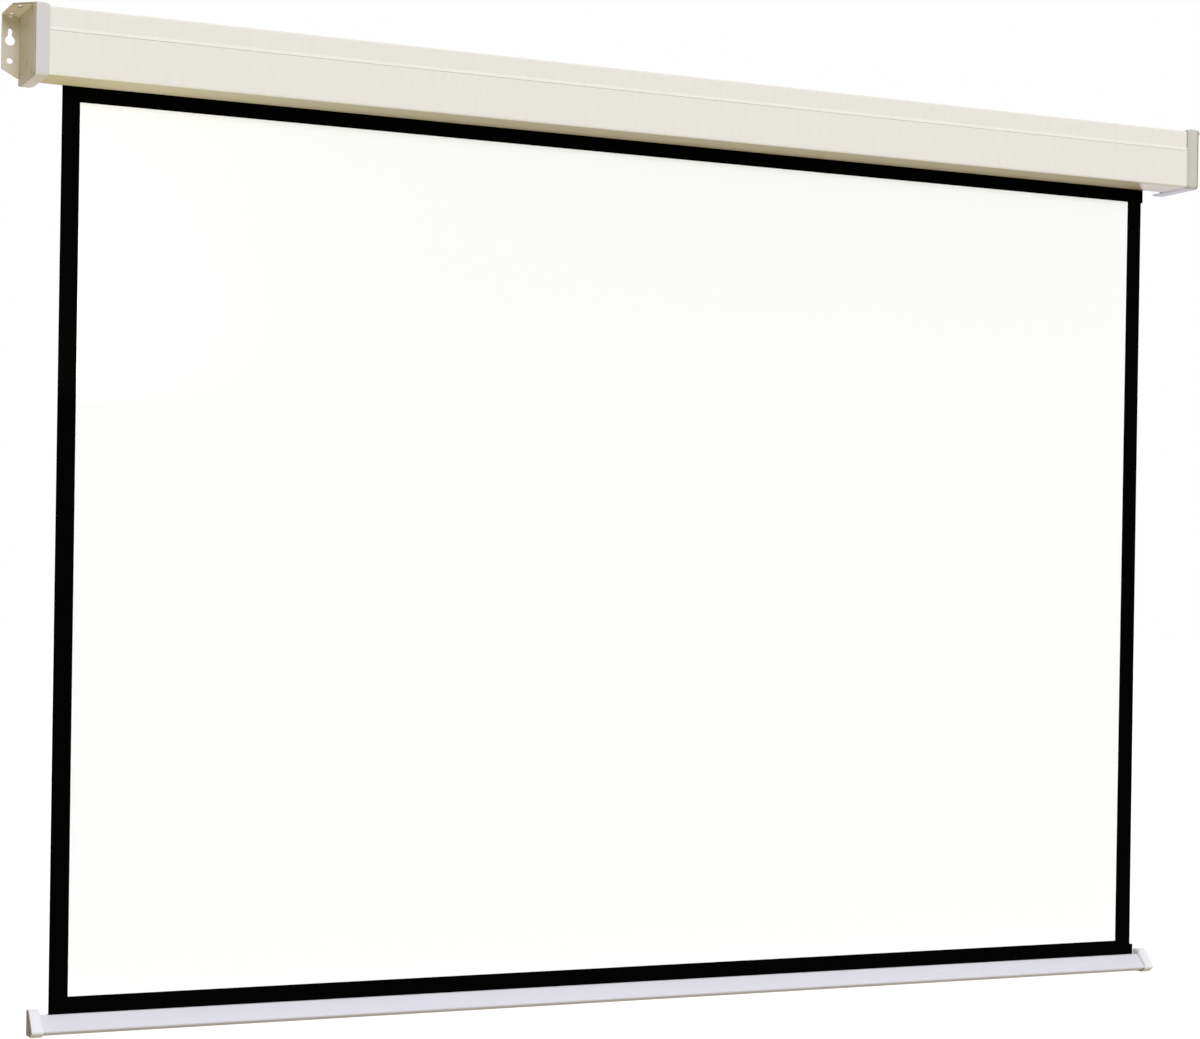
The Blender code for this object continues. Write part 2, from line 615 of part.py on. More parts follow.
def make_sheet(cloth, ink):
    """The hanging sheet with its printed frame, from the roller's back down to the hem.

    Its front is a grid of patches, white inside and black round the edge, pushed back to the
    cloth's thickness. The black leader above the picture is a little wider at the right.
    """
    pivot = empty("sheet_top", (SHEET_MIDDLE_X, SHEET_Y, AXIS_Z))
    half = SHEET_WIDTH / 2
    top = -GAP
    leader = CASING_FLOOR - TOP_BORDER - AXIS_Z
    bottom = SHEET_BOTTOM_Z + HEM_HEIGHT + GAP - AXIS_Z
    columns = [-half, -half + SIDE_BORDER, half - SIDE_BORDER, half, half + LEADER_TAB]
    rows = [bottom, leader, top]
    bm = bmesh.new()
    front = -SHEET_THICKNESS / 2
    grid = [[bm.verts.new((x, front, z)) for x in columns] for z in rows]
    for j in range(len(rows) - 1):
        for i in range(len(columns) - 1):
            if j == 0 and i == 3:
                continue
            corners = (grid[j][i], grid[j][i + 1], grid[j + 1][i + 1], grid[j + 1][i])
            patch = bm.faces.new(corners)
            patch.material_index = 0 if (j, i) == (0, 1) else 1
    bmesh.ops.delete(bm, geom=[v for v in bm.verts if not v.link_faces], context="VERTS")
    patches = bm.faces[:]
    made = bmesh.ops.extrude_face_region(bm, geom=patches, use_keep_orig=True)["geom"]
    moved = [each for each in made if isinstance(each, bmesh.types.BMVert)]
    bmesh.ops.translate(bm, verts=moved, vec=(0, SHEET_THICKNESS, 0))
    return finish(bm, "screen_sheet", pivot, cloth, ink)


def bar_outline():
    """Outside of the weight bar: flat top, sloped front, rounded nose and undercut foot."""
    nose = (BAR_NOSE + 2.4 * MM, -17.0 * MM)
    section = [(BAR_BACK, BAR_BOTTOM), (BAR_BACK, BAR_TOP), (BAR_TOP_FRONT, BAR_TOP)]
    section += arc(nose, 2.4 * MM, 132, 248, 6)
    section += [(BAR_FOOT, BAR_BOTTOM)]
    return section


def make_weight_bar(bar, lacquer):
    """Hollow bar with a necked channel for the hem along its top and a screw channel inside."""
    outside = bar_outline()
    centre = (0, BAR_CHANNEL_Z)
    mouth = np.degrees(np.arcsin(BAR_NECK / BAR_CHANNEL_RADIUS))
    channel = [(BAR_NECK, BAR_TOP)] + arc(centre, BAR_CHANNEL_RADIUS, 90 - mouth, -270 + mouth, 20)
    channel += [(-BAR_NECK, BAR_TOP)]
    section = outside[:2] + channel + outside[2:]
    wall = BAR_WALL
    keep = BAR_CHANNEL_RADIUS + wall
    floor = BAR_BOTTOM + wall
    back = BAR_BACK - wall
    shelf = BAR_CHANNEL_Z - keep
    inside = offset(outside, -wall)
    foot, nose = inside[-1], inside[3:-1]
    hollow = [(back, shelf), (back, floor)]
    hollow += screw_channel(BAR_SCREW_PLACE, 270, BAR_SCREW_BORE, BAR_SCREW_OUTER, BAR_SCREW_SINK)
    hollow += [foot] + nose[::-1] + [BAR_HOLLOW_TOP] + arc(centre, keep, 200, 270, 4)
    half = BAR_LENGTH / 2
    return prism("weight_bar", bar, "X", [section, hollow], -half, half, lacquer)


def bar_cap_outline():
    """Outside of a bar cap: the bar's shape grown, taller than the bar and deeper than its foot."""
    section = []
    for u, v in offset(bar_outline(), BAR_CAP_RIM):
        if v > BAR_TOP:
            v = BAR_CAP_TOP
        elif v < BAR_BOTTOM:
            v = BAR_CAP_BOTTOM
        section.append((u, v))
    return section


def make_bar_caps(bar, plastic, steel):
    """Moulded caps pushed over the bar's ends, with a bevelled inner rim, and their screws."""
    end = BAR_LENGTH / 2
    outer = end + GAP + BAR_CAP_WEB
    start = outer - BAR_CAP_LENGTH
    recess = outer - BAR_CAP_RECESS
    rim = bar_cap_outline()
    stations = [(start, offset(bar_outline(), 0.9 * MM)), (start + BAR_CAP_CHAMFER, rim)]
    stations += [(outer - 1 * MM, rim), (outer, offset(rim, -0.8 * MM))]
    hole = BAR_SCREW_BORE + 0.1 * MM
    mouth = end - 1 * MM
    drill = [(mouth, 0), (mouth, hole), (recess, hole), (recess, BAR_SCREW_HEAD + GAP)]
    drill += [(outer + 1 * MM, BAR_SCREW_HEAD + GAP), (outer + 1 * MM, 0)]
    shank = BAR_SCREW_BORE - GAP
    tip = end - 9 * MM
    seat = recess + GAP
    screw = [(tip, 0), (tip, shank - 0.5 * MM), (tip + 1 * MM, shank), (seat, shank)]
    screw += [(seat, BAR_SCREW_HEAD), (seat + 0.7 * MM, BAR_SCREW_HEAD)]
    screw += [(seat + 1.3 * MM, 0.6 * BAR_SCREW_HEAD), (seat + 1.4 * MM, 0)]
    for side, word in ((-1, "left"), (1, "right")):
        cap = loft("bar_cap_" + word, bar, [(side * x, each) for x, each in stations], plastic)
        socket = offset(bar_outline(), GAP)
        low, high = side * (start - 1 * MM), side * (end + GAP)
        boolean(cap, prism("bar_cap_pocket_" + word, bar, "X", [socket], low, high), "DIFFERENCE")
        bore = turned("bar_cap_drill_" + word, bar, [(side * x, r) for x, r in drill], steps=16)
        boolean(cap, at(bore, (0, *BAR_SCREW_PLACE)), "DIFFERENCE")
        made = turned("bar_cap_screw_" + word, bar, [(side * x, r) for x, r in screw], steel, steps=16)
        at(made, (0, *BAR_SCREW_PLACE))


def make_hem(bar, ink, steel):
    """The black hem at the foot of the sheet, welded into a loop, and the rod in it."""
    half = SHEET_THICKNESS
    loop = ROD_RADIUS + GAP
    outer = loop + SHEET_THICKNESS
    spread = np.degrees(np.arcsin(half / outer))
    centre = (0, BAR_CHANNEL_Z)
    section = [(half, HEM_HEIGHT), (-half, HEM_HEIGHT)]
    section += arc(centre, outer, 90 + spread, 450 - spread, 20)
    bore = circle(centre, loop, 20)
    left = -SHEET_WIDTH / 2
    right = SHEET_WIDTH / 2 + HEM_TAB
    prism("bottom_hem", bar, "X", [section, bore], left, right, ink)
    rod = circle(centre, ROD_RADIUS, 16)
    prism("hem_rod", bar, "X", [rod], left + 2 * MM, right - 2 * MM, steel)


def main():
    clear_scene()
    paint = material("powder_coat", "#E8E4DC", 0.45)
    plastic = material("moulded_cap", "#D4D0CE", 0.5)
    bracket_paint = material("painted_steel", "#D8D4C8", 0.45)
    zinc = material("zinc_plate", "#B9BCC0", 0.35, 1.0)
    steel = material("bright_steel", "#C4C6C8", 0.3, 1.0)
    copper = material("motor_winding", "#8A5A3C", 0.4, 1.0)
    nylon = material("black_nylon", "#2A2A2C", 0.5)
    grey = material("grey_plastic", "#6E7074", 0.5)
    brass = material("brass", "#C9A45A", 0.35, 1.0)
    rubber = material("rubber", "#1E1E1F", 0.8)
    cloth = material("matte_white_cloth", "#FAFAFA", 0.9)
    ink = material("black_border", "#050505", 0.9)
    lacquer = material("lilac_white_lacquer", "#DEDDE6", 0.4)

    casing = empty("casing", (0, 0, 0))
    roller = empty("roller", (0, AXIS_Y, AXIS_Z))
    bar = empty("weight_bar_carrier", (SHEET_MIDDLE_X, SHEET_Y, SHEET_BOTTOM_Z))

    make_top_profile(casing, paint)
    make_front_cover(casing, paint)

    corners = (TOP_FRONT_CHANNEL, TOP_BACK_CHANNEL, BACK_CHANNEL, COVER_CHANNEL)
    bolts = [(AXIS_Y, AXIS_Z + BRACKET_SCREW_Z), (AXIS_Y, AXIS_Z - BRACKET_SCREW_Z)]
    bores = [(place, END_SCREW_RADIUS + CLEARANCE) for place in corners]
    bores += [(place, BRACKET_SCREW_RADIUS + CLEARANCE) for place in bolts]
    screw_holes = [circle(place, radius, 12) for place, radius in bores]
    sinks = [circle(place, radius + SINK_SPREAD, 12) for place, radius in bores]
    openings = [circle((AXIS_Y + y, AXIS_Z + z), ACCESS_RADIUS, 12) for y, z in LIMIT_SCREW_PLACES]
    openings += [circle(GROMMET_PLACE, GROMMET_NECK + GAP, 20)]
    end_screw = screw_mesh("end_screw", END_SCREW_RADIUS, END_SCREW_LENGTH, zinc)
    bracket_length = END_PLATE_FACE - BRACKET_INNER - 0.4 * MM
    bracket_screw = screw_mesh("bracket_screw", BRACKET_SCREW_RADIUS, bracket_length, zinc)
    places = ("top_front", "top_back", "bottom_back", "bottom_front")
    for side, word, carried in ((-1, "left", "idler"), (1, "right", "motor")):
        others = openings if side > 0 else []
        make_end_cap(side, "end_cap_" + word, casing, plastic, screw_holes + others)
        make_mounting_bracket(side, word, casing, bracket_paint, screw_holes + others, sinks + others)
        names = [f"end_screw_{word}_{place}" for place in places]
        place_screws(end_screw, names, corners, casing, side, END_PLATE_FACE - SCREW_DEPTH)
        names = [f"{carried}_bracket_screw_{place}" for place in ("top", "bottom")]
        place_screws(bracket_screw, names, bolts, casing, side, END_PLATE_FACE - SCREW_DEPTH)

    plug, rivet_x, rivet_hole = make_idler(casing, roller, steel, zinc, nylon)
    tube = make_tube(roller, zinc)
    for target in (plug, tube):
        drill_rivet_hole(target, roller, rivet_x, rivet_hole)
    make_wound_cloth(roller, ink)
    head_end, screw_length = make_motor(casing, roller, steel, zinc, grey, copper, nylon)
    make_limit_screws(head_end, screw_length, brass)
    make_grommet(casing, rubber)
    make_sheet(cloth, ink)
    make_hem(bar, ink, steel)
    make_weight_bar(bar, lacquer)
    make_bar_caps(bar, plastic, zinc)


main()
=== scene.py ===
"""Looks of a motorised projector screen, fully lowered: its finishes, eased shells and cloth.

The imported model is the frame: X runs along the casing, Y into the wall and Z up, and the origin is
the middle of the casing's back. Lengths are in millimetres until a piece's mesh is made. An outline
is a closed row of points across a piece, walked with the material on its left, and a stack is an
array of outlines in space, joined one to the next.
"""

import bmesh
import bpy
import numpy as np
from mathutils import Matrix, Vector
from mathutils.geometry import delaunay_2d_cdt, tessellate_polygon


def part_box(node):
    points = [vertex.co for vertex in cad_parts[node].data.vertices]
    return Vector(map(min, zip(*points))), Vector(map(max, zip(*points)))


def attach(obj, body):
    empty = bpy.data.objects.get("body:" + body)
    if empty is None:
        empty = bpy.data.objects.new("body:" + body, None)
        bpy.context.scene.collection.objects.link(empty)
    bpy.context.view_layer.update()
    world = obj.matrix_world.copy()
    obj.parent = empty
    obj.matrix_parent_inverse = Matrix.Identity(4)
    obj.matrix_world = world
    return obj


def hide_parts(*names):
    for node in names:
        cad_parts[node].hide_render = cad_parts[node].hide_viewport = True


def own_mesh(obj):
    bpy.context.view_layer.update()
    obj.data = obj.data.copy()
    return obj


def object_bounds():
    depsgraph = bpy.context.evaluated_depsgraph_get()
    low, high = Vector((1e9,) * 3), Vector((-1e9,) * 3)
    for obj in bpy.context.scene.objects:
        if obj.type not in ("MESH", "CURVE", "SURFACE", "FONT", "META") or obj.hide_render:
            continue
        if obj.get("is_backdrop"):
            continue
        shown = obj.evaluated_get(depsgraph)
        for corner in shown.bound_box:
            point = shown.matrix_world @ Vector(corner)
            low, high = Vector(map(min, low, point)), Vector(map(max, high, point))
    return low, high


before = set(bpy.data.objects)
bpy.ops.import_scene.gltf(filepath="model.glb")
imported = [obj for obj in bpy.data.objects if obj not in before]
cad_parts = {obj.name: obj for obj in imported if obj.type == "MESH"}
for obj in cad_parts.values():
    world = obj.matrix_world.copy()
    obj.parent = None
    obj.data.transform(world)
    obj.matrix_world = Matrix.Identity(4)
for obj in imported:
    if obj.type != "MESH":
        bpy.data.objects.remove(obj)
cad_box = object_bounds()

MM = 0.001
GAP = 0.3
SIDES = ((-1, "left"), (1, "right"))


def span(node):
    """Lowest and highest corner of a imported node, in millimetres."""
    low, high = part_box(node)
    return np.array(low) / MM, np.array(high) / MM


# Camera, solved from the photo's perspective
CAMERA_PLACE = (-1514, -3117.5, -641.4)
CAMERA_YAW = 24.95
CAMERA_ROLL = 0.88
CAMERA_LENS = 76.8
CAMERA_SHIFT = 0.0583

# Casing
cover_low, cover_high = span("front_cover")
top_low, top_high = span("top_profile")
PROFILE_END = top_high[0]
CASING_FACE = cover_low[1]
CASING_FLOOR = cover_low[2]
CASING_TOP = top_high[2]
CASING_WALL = 1.5
UPPER_FACE = CASING_FACE + 1
SEAM = 13.2
COVER_TOP = SEAM - 0.25
LIP_EDGE = cover_high[1]
BACK_FOOT = top_low[2]
BACK_RETURN = 13
CHANNEL_BORE = 2.05
CHANNEL_OUTER = 3.6
CHANNEL_SINK = 0.5
TOP_FRONT_CHANNEL = (-74, 37.5)
TOP_BACK_CHANNEL = (-8, 37.5)
BACK_CHANNEL = (-8, -30.9)
COVER_CHANNEL = (-74, -35.9)

# End caps
cap_low, cap_high = span("end_cap_right")
CAP_RIM = cap_low[0]
CAP_FACE = cap_high[0]
CAP_TOP = cap_high[2]
CAP_BOTTOM = cap_low[2]
CAP_FRONT = cap_low[1]
CAP_FOOT = 5.5
CAP_WEB = 2

# Mounting brackets, a sheet of steel folded at the wall ear and the ceiling flange
plate_low, plate_high = span("mounting_bracket_right")
ear_low, ear_high = span("wall_ear_right")
flange_low, flange_high = span("ceiling_flange_right")
STEEL = 2
FOLD = 1.5
EAR_DROP = 10.8
EAR_HOLES_X = 863.35
KEYHOLE_Z = 12.2
KEYHOLE_RADIUS = 6.1
KEYHOLE_SLOT = 5.3
KEYHOLE_TOP = 26.7
ROUND_HOLE_Z = -12.3
ROUND_HOLE_RADIUS = 3.75
CEILING_SLOTS_Y = (-57.3, -9.7)
CEILING_SLOT_RADIUS = 3.25
CEILING_SLOT_RUN = 6.5
FLANGE_CUT_Y = -62.5

# Roller and the screws of its end brackets
AXIS = (-47.875, 1)
END_CORNERS = {
    "top_front": TOP_FRONT_CHANNEL,
    "top_back": TOP_BACK_CHANNEL,
    "bottom_back": BACK_CHANNEL,
    "bottom_front": COVER_CHANNEL,
}
BRACKET_BOLTS = {"top": (AXIS[0], AXIS[1] + 24), "bottom": (AXIS[0], AXIS[1] - 24)}
END_SCREW = 1.75
END_SCREW_LENGTH = 18
BRACKET_SCREW = 2.3
CLEARANCE = 0.45
HEAD_SPREAD = 1.7
HEAD_SINK = 0.2
ACCESS_PLACES = ((AXIS[0] - 10, AXIS[1] - 14), (AXIS[0] + 10, AXIS[1] - 14))
ACCESS_RADIUS = 3.5
GROMMET_PLACE = (-15, -18)
GROMMET_NECK = 5

# Sheet, its printed frame and its hem
sheet_low, sheet_high = span("screen_sheet")
hem_low, hem_high = span("bottom_hem")
SHEET_MIDDLE = -4
SHEET_Y = -24
SHEET_THICKNESS = 0.45
SHEET_WIDTH = 1600
SHEET_LEFT = SHEET_MIDDLE - SHEET_WIDTH / 2
SHEET_RIGHT = SHEET_MIDDLE + SHEET_WIDTH / 2
PICTURE_TOP = CASING_FLOOR - 18.4
FOOT_BORDER = 20.5
LEFT_BORDER = (22, 23.5)
RIGHT_BORDER = (23.8, 26.2)

# Weight bar, measured from the sheet's visible bottom edge and from the sheet's plane
bar_low, bar_high = span("weight_bar")
BAR_TOP = -0.3
BAR_ZERO = bar_high[2] - BAR_TOP
BAR_BOTTOM = -23
BAR_BACK = 5.2
BAR_TOP_FRONT = -5.2
BAR_NOSE = (-20.9, -17.0)
BAR_NOSE_RADIUS = 2.4
BAR_FOOT = -14.5
BAR_WALL = 1.4
BAR_NECK = 0.95
BAR_CHANNEL = (0, -6.8)
BAR_CHANNEL_RADIUS = 3.7
BAR_HOLLOW_TOP = (-8.6, -5.3)
BAR_SCREW_PLACE = (-11, -19)
BAR_SCREW_BORE = 1.5
BAR_SCREW_OUTER = 3
BAR_SCREW_SINK = 0.4
BAR_SCREW_HEAD = 2.8
BAR_CAP_RIM = 1.3
BAR_CAP_TOP = 7
BAR_CAP_BOTTOM = -25
BAR_CAP_EDGE = 1.2
BAR_CAP_RECESS = 1.8
BAR_FOOT_LINE = -18
ROD_RADIUS = 2.2


# Outlines and stacks


def arc(centre, radius, start, end, steps=8):
    """Points at equal steps of angle, in degrees, on a circle.

    Their third number is the corner radius that outline reads, and 0 keeps a point as it is.
    """
    turn = np.radians(np.linspace(start, end, steps + 1))
    return np.stack([centre[0] + radius * np.cos(turn), centre[1] + radius * np.sin(turn), 0 * turn], 1)


def circle(centre, radius, steps=32):
    return arc(centre, radius, 0, 360, steps)[:-1, :2]


def outline(*stretches, steps=5):
    """Corners (u, v, radius) with each radius made an arc that touches both edges of its corner.

    The arc starts one tangent length before the corner, where the length is the radius times the
    tangent of half the turn, and its arm is turned by equal shares of the corner's turn.
    """
    corners = np.vstack([np.atleast_2d(each) for each in stretches]).astype(float)
    place = corners[:, :2]
    radius = corners[:, 2]
    ahead = np.roll(place, -1, axis=0) - place
    ahead /= np.linalg.norm(ahead, axis=1)[:, None]
    behind = np.roll(ahead, 1, axis=0)
    across = behind[:, 0] * ahead[:, 1] - behind[:, 1] * ahead[:, 0]
    turn = np.arctan2(across, (behind * ahead).sum(axis=1))
    start = place - behind * (radius * np.abs(np.tan(turn / 2)))[:, None]
    left = np.stack([-behind[:, 1], behind[:, 0]], axis=1)
    arm = -left * (np.sign(turn) * radius)[:, None]
    angle = turn[:, None] * np.linspace(0, 1, steps + 1)
    cos = np.cos(angle)
    sin = np.sin(angle)
    u = (start - arm)[:, :1] + arm[:, :1] * cos - arm[:, 1:] * sin
    v = (start - arm)[:, 1:] + arm[:, :1] * sin + arm[:, 1:] * cos
    keep = (radius > 0)[:, None] | (np.arange(steps + 1) == 0)
    return np.stack([u[keep], v[keep]], axis=1)


def grown(section, distance):
    """An outline moved outwards by the distance, each point along the mitre of its two edges."""
    along = np.roll(section, -1, axis=0) - section
    along /= np.linalg.norm(along, axis=1)[:, None]
    outward = np.stack([along[:, 1], -along[:, 0]], axis=1)
    before = np.roll(outward, 1, axis=0)
    mitre = outward + before
    mitre /= (1 + (outward * before).sum(axis=1))[:, None]
    return section + distance * mitre


def stacked(stations):
    """A stack from pairs of a place along X and the outline (y, z) there."""
    stack = np.empty((len(stations), len(stations[0][1]), 3))
    stack[..., 0] = [[place] for place, _ in stations]
    stack[..., 1:] = [section for _, section in stations]
    return stack


def eased(section, start, end, radius, steps=4):
    """Stations from start to end whose last edge is rounded: a quarter circle from wall to face."""
    way = np.sign(end - start)
    turn = np.radians(np.linspace(0, 90, steps + 1))
    rounding = [
        (end - way * radius * (1 - np.sin(a)), grown(section, -radius * (1 - np.cos(a)))) for a in turn
    ]
    return [(start, section)] + rounding


def screw_channel(centre, wall, bore, outer, sink, steps=12):
    """A slotted round channel that stands on the wall lying towards the angle wall, in degrees."""
    foot = np.degrees(np.arccos((outer - sink) / outer))
    slot = 28
    return np.vstack(
        [
            arc(centre, outer, wall + foot, wall + 180 - slot, steps),
            arc(centre, bore, wall + 180 - slot, wall - 180 + slot, 2 * steps),
            arc(centre, outer, wall - 180 + slot, wall - foot, steps),
        ]
    )


def casing_channel(centre, wall):
    return screw_channel(centre, wall, CHANNEL_BORE, CHANNEL_OUTER, CHANNEL_SINK)


# Meshes


def grid(rows, columns):
    """Quads between neighbouring points of a grid whose columns close into a ring."""
    index = np.arange(rows * columns).reshape(rows, columns)
    above = index[:-1]
    below = index[1:]
    quads = [above, np.roll(above, -1, axis=1), np.roll(below, -1, axis=1), below]
    return np.stack(quads, axis=-1).reshape(-1, 4)


def piece(name, points, faces, finish, body, nodes, uv=None, sharp=32):
    """An object at the origin from points in millimetres, with its faces turned outwards.

    Its curved stretches are smooth, and each vertex takes its normal from its larger faces, so that
    a flat next to a small rounding stays flat.
    """
    mesh = bpy.data.meshes.new(name)
    mesh.from_pydata((points * MM).tolist(), [], faces)
    bm = bmesh.new()
    bm.from_mesh(mesh)
    if uv is None:
        bmesh.ops.remove_doubles(bm, verts=bm.verts, dist=1e-7)
    bmesh.ops.recalc_face_normals(bm, faces=bm.faces)
    bm.to_mesh(mesh)
    bm.free()
    mesh.shade_smooth()
    mesh.set_sharp_from_angle(angle=np.radians(sharp))
    if uv is not None:
        corner = np.empty(len(mesh.loops), int)
        mesh.loops.foreach_get("vertex_index", corner)
        mesh.uv_layers.new(name="cloth").data.foreach_set("uv", (uv * MM)[corner].ravel())
    made = bpy.data.objects.new(name, mesh)
    bpy.context.scene.collection.objects.link(made)
    for each in finish if isinstance(finish, tuple) else (finish,):
        mesh.materials.append(each)
    weighted = made.modifiers.new("flats stay flat", "WEIGHTED_NORMAL")
    weighted.keep_sharp = True
    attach(made, body)
    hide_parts(*nodes)
    return made


def solid(name, stack, finish, body, nodes, holes=(), floors=(), uv=None):
    """A closed surface: the stack's outlines joined in order, the first and last filled flat.

    A hole is a stack that starts in the first outline's face and ends in the last one's. One that
    is listed in floors starts in the first face too, but is closed by a floor of its own.
    """
    points = []
    faces = []
    first = []
    last = []
    blind = []
    count = 0
    for each, ends in [(stack, last), *[(h, last) for h in holes], *[(f, blind) for f in floors]]:
        rows, columns = each.shape[:2]
        points.append(each.reshape(-1, 3))
        faces += (grid(rows, columns) + count).tolist()
        first.append(count + np.arange(columns))
        ends.append(count + (rows - 1) * columns + np.arange(columns))
        count += rows * columns
    points = np.concatenate(points)
    for loops in [first, last, *[[each] for each in blind]]:
        triangles = tessellate_polygon([points[each] for each in loops])
        faces += np.concatenate(loops)[np.array(triangles)].tolist()
    return piece(name, points, faces, finish, body, nodes, uv)


def face_centres(made):
    """The middles of a piece's faces, in millimetres, one row each."""
    centres = np.empty(len(made.data.polygons) * 3)
    made.data.polygons.foreach_get("center", centres)
    return centres.reshape(-1, 3) / MM


def face_normals(made):
    """The normals of a piece's faces, one row each."""
    normals = np.empty(len(made.data.polygons) * 3)
    made.data.polygons.foreach_get("normal", normals)
    return normals.reshape(-1, 3)


def give_finishes(made, index):
    """Each face takes the finish that stands at its index in the piece's list of them."""
    made.data.polygons.foreach_set("material_index", np.asarray(index, np.int32))


# Finishes


def linear(color):
    """An sRGB hex colour as linear red, green, blue and 1."""
    srgb = np.array([int(color[i : i + 2], 16) for i in (1, 3, 5)]) / 255
    return (*np.where(srgb <= 0.04045, srgb / 12.92, ((srgb + 0.055) / 1.055) ** 2.4), 1)


def add(tree, kind, inputs=None, **settings):
    """Adds a node with its settings; an input is a value, or another node's output that feeds it."""
    made = tree.nodes.new(kind)
    for name, value in settings.items():
        setattr(made, name, value)
    for socket, value in (inputs or {}).items():
        if isinstance(value, bpy.types.NodeSocket):
            tree.links.new(value, made.inputs[socket])
        else:
            made.inputs[socket].default_value = value
    return made


def start(name, roughness, metallic, specular):
    """A new material with its node tree and its Principled shader."""
    made = bpy.data.materials.new(name)
    made.use_nodes = True
    shader = made.node_tree.nodes["Principled BSDF"]
    shader.inputs["Roughness"].default_value = roughness
    shader.inputs["Metallic"].default_value = metallic
    shader.inputs["Specular IOR Level"].default_value = specular
    return made, made.node_tree, shader


def mottled(name, tones, patch, roughness, grain, depth, stretch=(1, 1, 1), metallic=0.0, specular=0.4):
    """A finish whose tone drifts between two colours, with a raised grain and uneven gloss.

    patch and grain are the sizes of the drift and of the grain, and depth the grain's height, in
    millimetres. stretch shortens the pattern along X, Y and Z.
    """
    made, tree, shader = start(name, roughness, metallic, specular)
    place = add(tree, "ShaderNodeTexCoord").outputs["Object"]
    place = add(tree, "ShaderNodeMapping", {"Vector": place, "Scale": stretch}).outputs[0]
    drift = add(tree, "ShaderNodeTexNoise", {"Vector": place, "Scale": 1 / (patch * MM), "Detail": 4})
    tone = {0: drift.outputs[0], 6: linear(tones[0]), 7: linear(tones[1])}
    tone = add(tree, "ShaderNodeMix", tone, data_type="RGBA")
    tree.links.new(tone.outputs[2], shader.inputs["Base Color"])
    pits = add(tree, "ShaderNodeTexNoise", {"Vector": place, "Scale": 1 / (grain * MM), "Detail": 2})
    bump = {"Height": pits.outputs[0], "Distance": depth * MM, "Strength": 1.0}
    bump = add(tree, "ShaderNodeBump", bump)
    tree.links.new(bump.outputs[0], shader.inputs["Normal"])
    gloss = {0: drift.outputs[0], 1: 0.3, 2: 0.7, 3: roughness - 0.05, 4: roughness + 0.05}
    gloss = add(tree, "ShaderNodeMapRange", gloss)
    tree.links.new(gloss.outputs[0], shader.inputs["Roughness"])
    return made


def woven(name, tones, roughness, specular, thread, depth):
    """Coated cloth: threads that run both ways, each way a noise drawn out along the thread.

    The pattern follows the cloth's own UV map, which is in metres on the flat cloth.
    """
    made, tree, shader = start(name, roughness, 0.0, specular)
    place = add(tree, "ShaderNodeUVMap", uv_map="cloth").outputs[0]
    ways = []
    for stretch in ((1 / 24, 1, 1), (1, 1 / 24, 1)):
        along = add(tree, "ShaderNodeMapping", {"Vector": place, "Scale": stretch}).outputs[0]
        noise = {"Vector": along, "Scale": 1 / (thread * MM), "Detail": 1}
        ways.append(add(tree, "ShaderNodeTexNoise", noise).outputs[0])
    both = add(tree, "ShaderNodeMath", {0: ways[0], 1: ways[1]}, operation="ADD").outputs[0]
    half = add(tree, "ShaderNodeMath", {0: both, 1: 0.5}, operation="MULTIPLY").outputs[0]
    tone = {0: half, 6: linear(tones[0]), 7: linear(tones[1])}
    tone = add(tree, "ShaderNodeMix", tone, data_type="RGBA")
    tree.links.new(tone.outputs[2], shader.inputs["Base Color"])
    bump = add(tree, "ShaderNodeBump", {"Height": half, "Distance": depth * MM, "Strength": 1.0})
    tree.links.new(bump.outputs[0], shader.inputs["Normal"])
    return made


# Aluminium profile, powder coated a warm off-white: an even satin with a very faint orange peel. Its
# 0.5 mm peel is drawn at 1.4 mm, and its tone drifts in tall streaks.
powder_coat = mottled(
    "powder_coated_aluminium", ("#E2DED8", "#E8E5E0"), 9, 0.7, 1.4, 0.012, (1, 1, 0.3), specular=0.12
)

# The same powder coat on the cover's underside, in darker olive tones: painted shade, the shade
# that falls under the casing painted into the colour.
underside_painted_shade = mottled(
    "powder_coat_painted_shade_underside",
    ("#CBC4AD", "#D2CBB5"),
    9,
    0.75,
    1.4,
    0.012,
    (1, 1, 0.3),
    specular=0.08,
)

# Moulded ABS, fine spark-eroded texture: a little greyer and cooler than the casing. The 0.2 mm
# texture is drawn at 0.9 mm.
cap_abs_with_shaded_right = {
    "left": mottled("moulded_abs_left_cap", ("#CDC9C7", "#D2CECC"), 6, 0.6, 0.9, 0.015, specular=0.15),
    # The right cap's tones are darker than the left's: painted shade, as that end lies in shade.
    "right": mottled("moulded_abs_right_cap_painted_shade", ("#C2BFB8", "#C8C5BE"), 6, 0.6, 0.9, 0.015, specular=0.15),
}
bar_cap_abs = mottled("moulded_abs_bar_cap", ("#DEDCE2", "#E3E1E7"), 6, 0.6, 0.9, 0.012, specular=0.15)

# The flat outer face of a bar cap: coarser than its glossy sides, and darker as painted shade.
bar_cap_end_painted_shade = mottled("abs_bar_cap_face_painted_shade", ("#857976", "#8C807C"), 5, 0.6, 1.1, 0.03)

# Folded steel with a stoved enamel: satin cream, with the soft unevenness of enamel over sheet.
enamel = mottled("stove_enamelled_steel", ("#D3CBB9", "#DAD3C3"), 14, 0.5, 2.2, 0.02)

# The steel's sheared edges, in a darker tone than the enamelled faces.
cut_edge = mottled("darker_tone_on_cut_steel", ("#8E8672", "#A49B84"), 5, 0.55, 1.2, 0.02)

# Black-passivated zinc on small screws: dull and almost without a highlight.
black_zinc = mottled("black_passivated_zinc", ("#5C5550", "#6A625C"), 3, 0.6, 0.5, 0.01, specular=0.2)

# Zinc plate on pressed steel: cool grey metal with cloudy patches, under 1 mm grains drawn at 1.5.
zinc = mottled("zinc_plated_steel", ("#AEB2B8", "#C6C9CC"), 5, 0.38, 1.5, 0.01, metallic=1.0)

